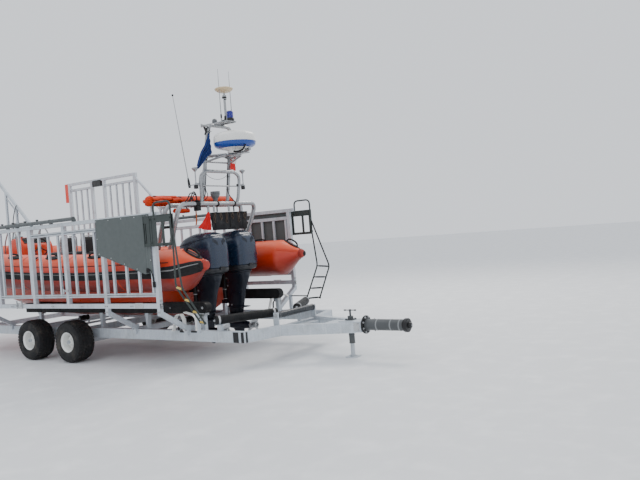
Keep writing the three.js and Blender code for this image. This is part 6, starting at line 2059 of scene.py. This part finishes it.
def make_pod():
    pod = Shape()
    rows = []
    run = [(2.200, 0.030), (2.206, 0.012), (2.222, 0.0)] + [(2.26 + 0.2075 * k, 0.0) for k in range(1, 12)]
    run += [(4.728, 0.0), (4.744, 0.012), (4.750, 0.030)]
    for x, inset in run:
        top = 0.640 + (x - 2.200) / 2.550 * 0.060 - inset
        row = []
        for y, z in ((0.190, 0.27), (0.187, 0.34), (0.179, 0.42), (0.168, 0.52), (0.160, top - 0.040),
                     (0.156, top - 0.018), (0.146, top - 0.004), (0.130, top)):
            row.append((x, y - inset, z))
        rows.append(row + [(a, -b, c) for a, b, c in reversed(row)])
    pod.skin(rows)
    for _, side in SIDES:
        for x in (2.45, 3.08, 3.71, 4.34):
            pod.bar((x - 0.17, side * 0.1735, 0.490), (x + 0.17, side * 0.1735, 0.490), 0.006, 0.130,
                    (0, side * -0.13, 1))
    pod.done("seat_pod_moulding", BOAT, PLASTIC, ["seat_pod"], "grey_plastic", 0.004, 2, 40)
    steel = Shape()
    for _, side in SIDES:
        for x in (2.45, 3.08, 3.71, 4.34):
            for off in (-0.15, 0.15):
                steel.bolt((x + off, side * 0.178, 0.540), (0, side, 0.2), 0.006)
            steel.strap([(x - 0.03, side * 0.182, 0.500), (x, side * 0.192, 0.500),
                         (x + 0.03, side * 0.182, 0.500)],
                        (0, 0, 1), 0.014, 0.004)
        rail = rounded([(2.30, side * 0.200, 0.32), (2.30, side * 0.225, 0.45), (4.62, side * 0.225, 0.52),
                        (4.62, side * 0.200, 0.44)], 0.06)
        steel.tube(rail, 0.011, 12)
    steel.done("pod_fittings", BOAT, STEEL, slot="steel_shaft", bevel=0.001)


def make_console():
    body = Shape()
    profile = rounded([(5.180, 0, 0.420), (5.180, 0, 1.000), (5.330, 0, 1.160), (5.600, 0, 1.120),
                       (5.760, 0, 0.960), (5.880, 0, 0.440)], 0.07, 6)
    outline = [(p.x, p.z) for p in profile]
    middle = Vector((5.500, 0.760))
    rows = []
    for y, inset in ((-0.330, 0.030), (-0.326, 0.014), (-0.314, 0.004), (-0.298, 0.0), (0.298, 0.0),
                     (0.314, 0.004), (0.326, 0.014), (0.330, 0.030)):
        row = []
        for x, z in outline:
            away = (Vector((x, z)) - middle).normalized() * inset
            row.append((x - away.x, y, z - away.y))
        rows.append(row)
    body.skin(rows)
    body.done("console_moulding", BOAT, POD_ORANGE, ["console"], "orange_hull", angle=45)
    dash = Shape()
    slope = (Vector((5.330, 0, 1.160)) - Vector((5.180, 0, 1.000))).normalized()
    face = Vector((-slope.z, 0, slope.x))
    centre = Vector((5.255, 0, 1.080))

    def on_dash(along, y, lift):
        return centre + slope * along + face * lift + Vector((0, y, 0))

    dash.bar(on_dash(0, -0.270, 0.003), on_dash(0, 0.270, 0.003), 0.150, 0.012, face)
    for y in (-0.200, -0.095, 0.095, 0.200):
        dash.turned([(0.040, 0.006), (0.040, 0.018), (0.034, 0.020), (0.032, 0.014), (0.004, 0.014)],
                    on_dash(0.018, y, 0), face, 28)
    for k in range(7):
        place = on_dash(-0.050, -0.18 + 0.06 * k, 0.006)
        dash.box(place.x - 0.008, place.x + 0.008, place.y - 0.010, place.y + 0.010, place.z, place.z + 0.014)
    dash.box(5.385, 5.520, 0.180, 0.280, 1.135, 1.175)
    for y in (0.205, 0.250):
        dash.bar((5.455, y, 1.165), (5.420, y, 1.290), 0.014, 0.018, (1, 0, 0))
        dash.turned([(0.004, -0.022), (0.016, -0.016), (0.020, 0), (0.016, 0.016), (0.004, 0.022)],
                    (5.418, y, 1.300), (0, 1, 0), 16)
    dash.turned([(0.030, 0), (0.034, 0.010), (0.034, 0.060), (0.028, 0.070)], (5.500, -0.160, 1.128),
                (0, 0, 1), 24)
    dash.bar((5.1765, -0.200, 0.620), (5.1765, 0.200, 0.620), 0.010, 0.260)
    dash.done("console_dash", BOAT, BLACK, slot="black_metal", bevel=0.002)
    rail = Shape()
    for _, side in SIDES:
        rail.tube(rounded([(5.300, side * 0.352, 0.560), (5.340, side * 0.352, 1.230),
                           (5.560, side * 0.340, 1.440), (5.560, side * 0.020, 1.452)], 0.09), 0.015, 16)
        rail.tube(rounded([(5.860, side * 0.300, 0.540), (5.760, side * 0.345, 1.060),
                           (5.560, side * 0.340, 1.400)],
                          0.07), 0.013, 14)
        for x, z in ((5.300, 0.560), (5.340, 1.060)):
            rail.rod((x, side * 0.322, z), (x, side * 0.352, z), 0.017, 14)
    rail.done("console_rail", BOAT, ALLOY, slot="alloy_tube", angle=50)

    screen = Shape()
    rows = []
    for k in range(13):
        t = k / 12
        bow = 0.010 * math.sin(math.pi * t)
        y = -0.285 + 0.570 * t
        rows.append([(5.550 + bow, y, 1.132), (5.574 + bow, y, 1.132), (5.490 + bow, y, 1.410),
                     (5.470 + bow, y, 1.410)])
    screen.skin(rows)
    screen.done("screen_sheet", BOAT, SCREEN, ["screen"], "screen_clear", 0.002, 2, 40)
    trim = Shape()
    trim.tube(rounded([(5.560, 0.294, 1.126), (5.482, 0.294, 1.414), (5.486, 0, 1.420),
                       (5.482, -0.294, 1.414), (5.560, -0.294, 1.126)], 0.04), 0.010, 12)
    trim.bar((5.563, -0.300, 1.130), (5.563, 0.300, 1.130), 0.046, 0.014)
    trim.done("screen_trim", BOAT, BLACK, slot="black_metal", angle=45)


def make_helm():
    x, z = 5.110, 0.930
    wheel = Shape()
    ring = [(x, 0.170 * math.cos(math.tau * k / 64), z + 0.170 * math.sin(math.tau * k / 64))
            for k in range(64)]
    wheel.tube(ring, lambda t: 0.0122 + 0.0008 * math.cos(math.tau * 32 * t), 16, loop=True)
    for deg in (0, 120, 240):
        a = math.radians(deg)
        out = Vector((0, math.sin(a), math.cos(a)))
        root = Vector((x + 0.004, 0, z))
        tip = Vector((x, 0, z)) + out * 0.168
        wheel.tube(eased([root + out * 0.018, root + out * 0.08 + Vector((0.008, 0, 0)), tip], 5),
                   lambda t: 0.0115 - 0.0030 * t, 12)
    wheel.turned([(0.004, -0.014), (0.022, -0.012), (0.027, -0.004), (0.0275, 0.020), (0.024, 0.040),
                  (0.024, 0.0695)],
                 (x, 0, z), (1, 0, 0), 32)
    wheel.done("helm_wheel_rim", "helm", RUBBER, ["helm_wheel"], "black_rubber", angle=45)


def make_locker():
    box = Shape()
    lines = ((0.470, 0.000), (0.606, 0.000), (0.610, -0.005), (0.618, -0.005), (0.622, 0.004), (0.664, 0.002),
             (0.674, -0.010), (0.679, -0.030))
    rows = []
    for z, grow in lines:
        low, high, half = 6.052 - grow, 6.598 + grow, 0.238 + grow
        corners = rounded([((low + high) / 2, half, 0), (high, half, 0), (high, -half, 0), (low, -half, 0),
                           (low, half, 0), ((low + high) / 2, half, 0)], 0.045, 5)
        rows.append([(p.x, p.y, z) for p in corners[:-1]])
    box.skin(rows)
    for x in (6.20, 6.45):
        box.box(x - 0.030, x + 0.030, -0.120, 0.120, 0.676, 0.684)
    box.done("bow_locker_moulding", BOAT, PLASTIC, ["bow_locker"], "grey_plastic", angle=40)
    steel = Shape()
    for y in (-0.14, 0.14):
        steel.strap([(6.046, y - 0.03, 0.615), (6.038, y, 0.615), (6.046, y + 0.03, 0.615)], (0, 0, 1), 0.050,
                    0.004)
        steel.bolt((6.044, y, 0.600), (-1, 0, 0), 0.006)
    post_z = deck_at(6.80)
    steel.turned([(0.060, 0), (0.060, 0.008), (0.034, 0.012), (0.034, 0.150), (0.042, 0.156), (0.042, 0.166),
                  (0.020, 0.172)], (6.800, 0, post_z), (0, 0, 1), 28)
    steel.rod((6.800, -0.085, post_z + 0.115), (6.800, 0.085, post_z + 0.115), 0.012, 16)
    for _, side in SIDES:
        for x in (1.45, 4.30):
            z = deck_at(x)
            y = side * 0.700
            steel.box(x - 0.09, x + 0.09, y - 0.022, y + 0.022, z, z + 0.010)
            steel.tube(eased([(x - 0.095, y, z + 0.052), (x - 0.04, y, z + 0.048), (x + 0.04, y, z + 0.048),
                              (x + 0.095, y, z + 0.052)], 4), lambda t: 0.012 - 0.005 * abs(2 * t - 1), 12)
            for off in (-0.03, 0.03):
                steel.rod((x + off, y, z + 0.006), (x + off, y, z + 0.048), 0.010, 12)
    steel.done("deck_fittings", BOAT, STEEL, slot="steel_shaft", angle=40)
    mats = Shape()
    mat_aft, mat_fore = 1.30, 2.55
    for _, side in SIDES:
        mats.box(mat_aft, mat_fore, side * 0.260, side * 0.640, DECK_Z, DECK_Z + 0.006)
        for k in range(14):
            x = mat_aft + 0.05 + 0.085 * k
            mats.box(x, x + 0.04, side * 0.280, side * 0.620, DECK_Z + 0.005, DECK_Z + 0.009)
    mats.done("deck_mats", BOAT, RUBBER, slot="black_rubber", bevel=0.001)


make_floor()
dress_cad()
make_outboards()
make_collar()
make_collar_fittings()
make_strake()
make_arch()
make_mast()
make_mast_cables()
make_radar()
make_lamps()
make_righting_bag()
make_net_bag()
make_flags()
for side_name, side_way in SIDES:
    make_fence(side_name, side_way)
    make_bow_frame(side_name, side_way)
    make_panel(side_name, side_way)
    make_ladder(side_name, side_way)
    for axle_number, axle_x in enumerate(AXLES, 1):
        make_wheel(side_name, side_way, axle_number, axle_x)
make_axle_fittings()
make_chassis_details()
make_hitch()
make_jack()
make_fenders_and_rollers()
make_bunk_fittings()
make_seats()
make_pod()
make_console()
make_helm()
make_locker()
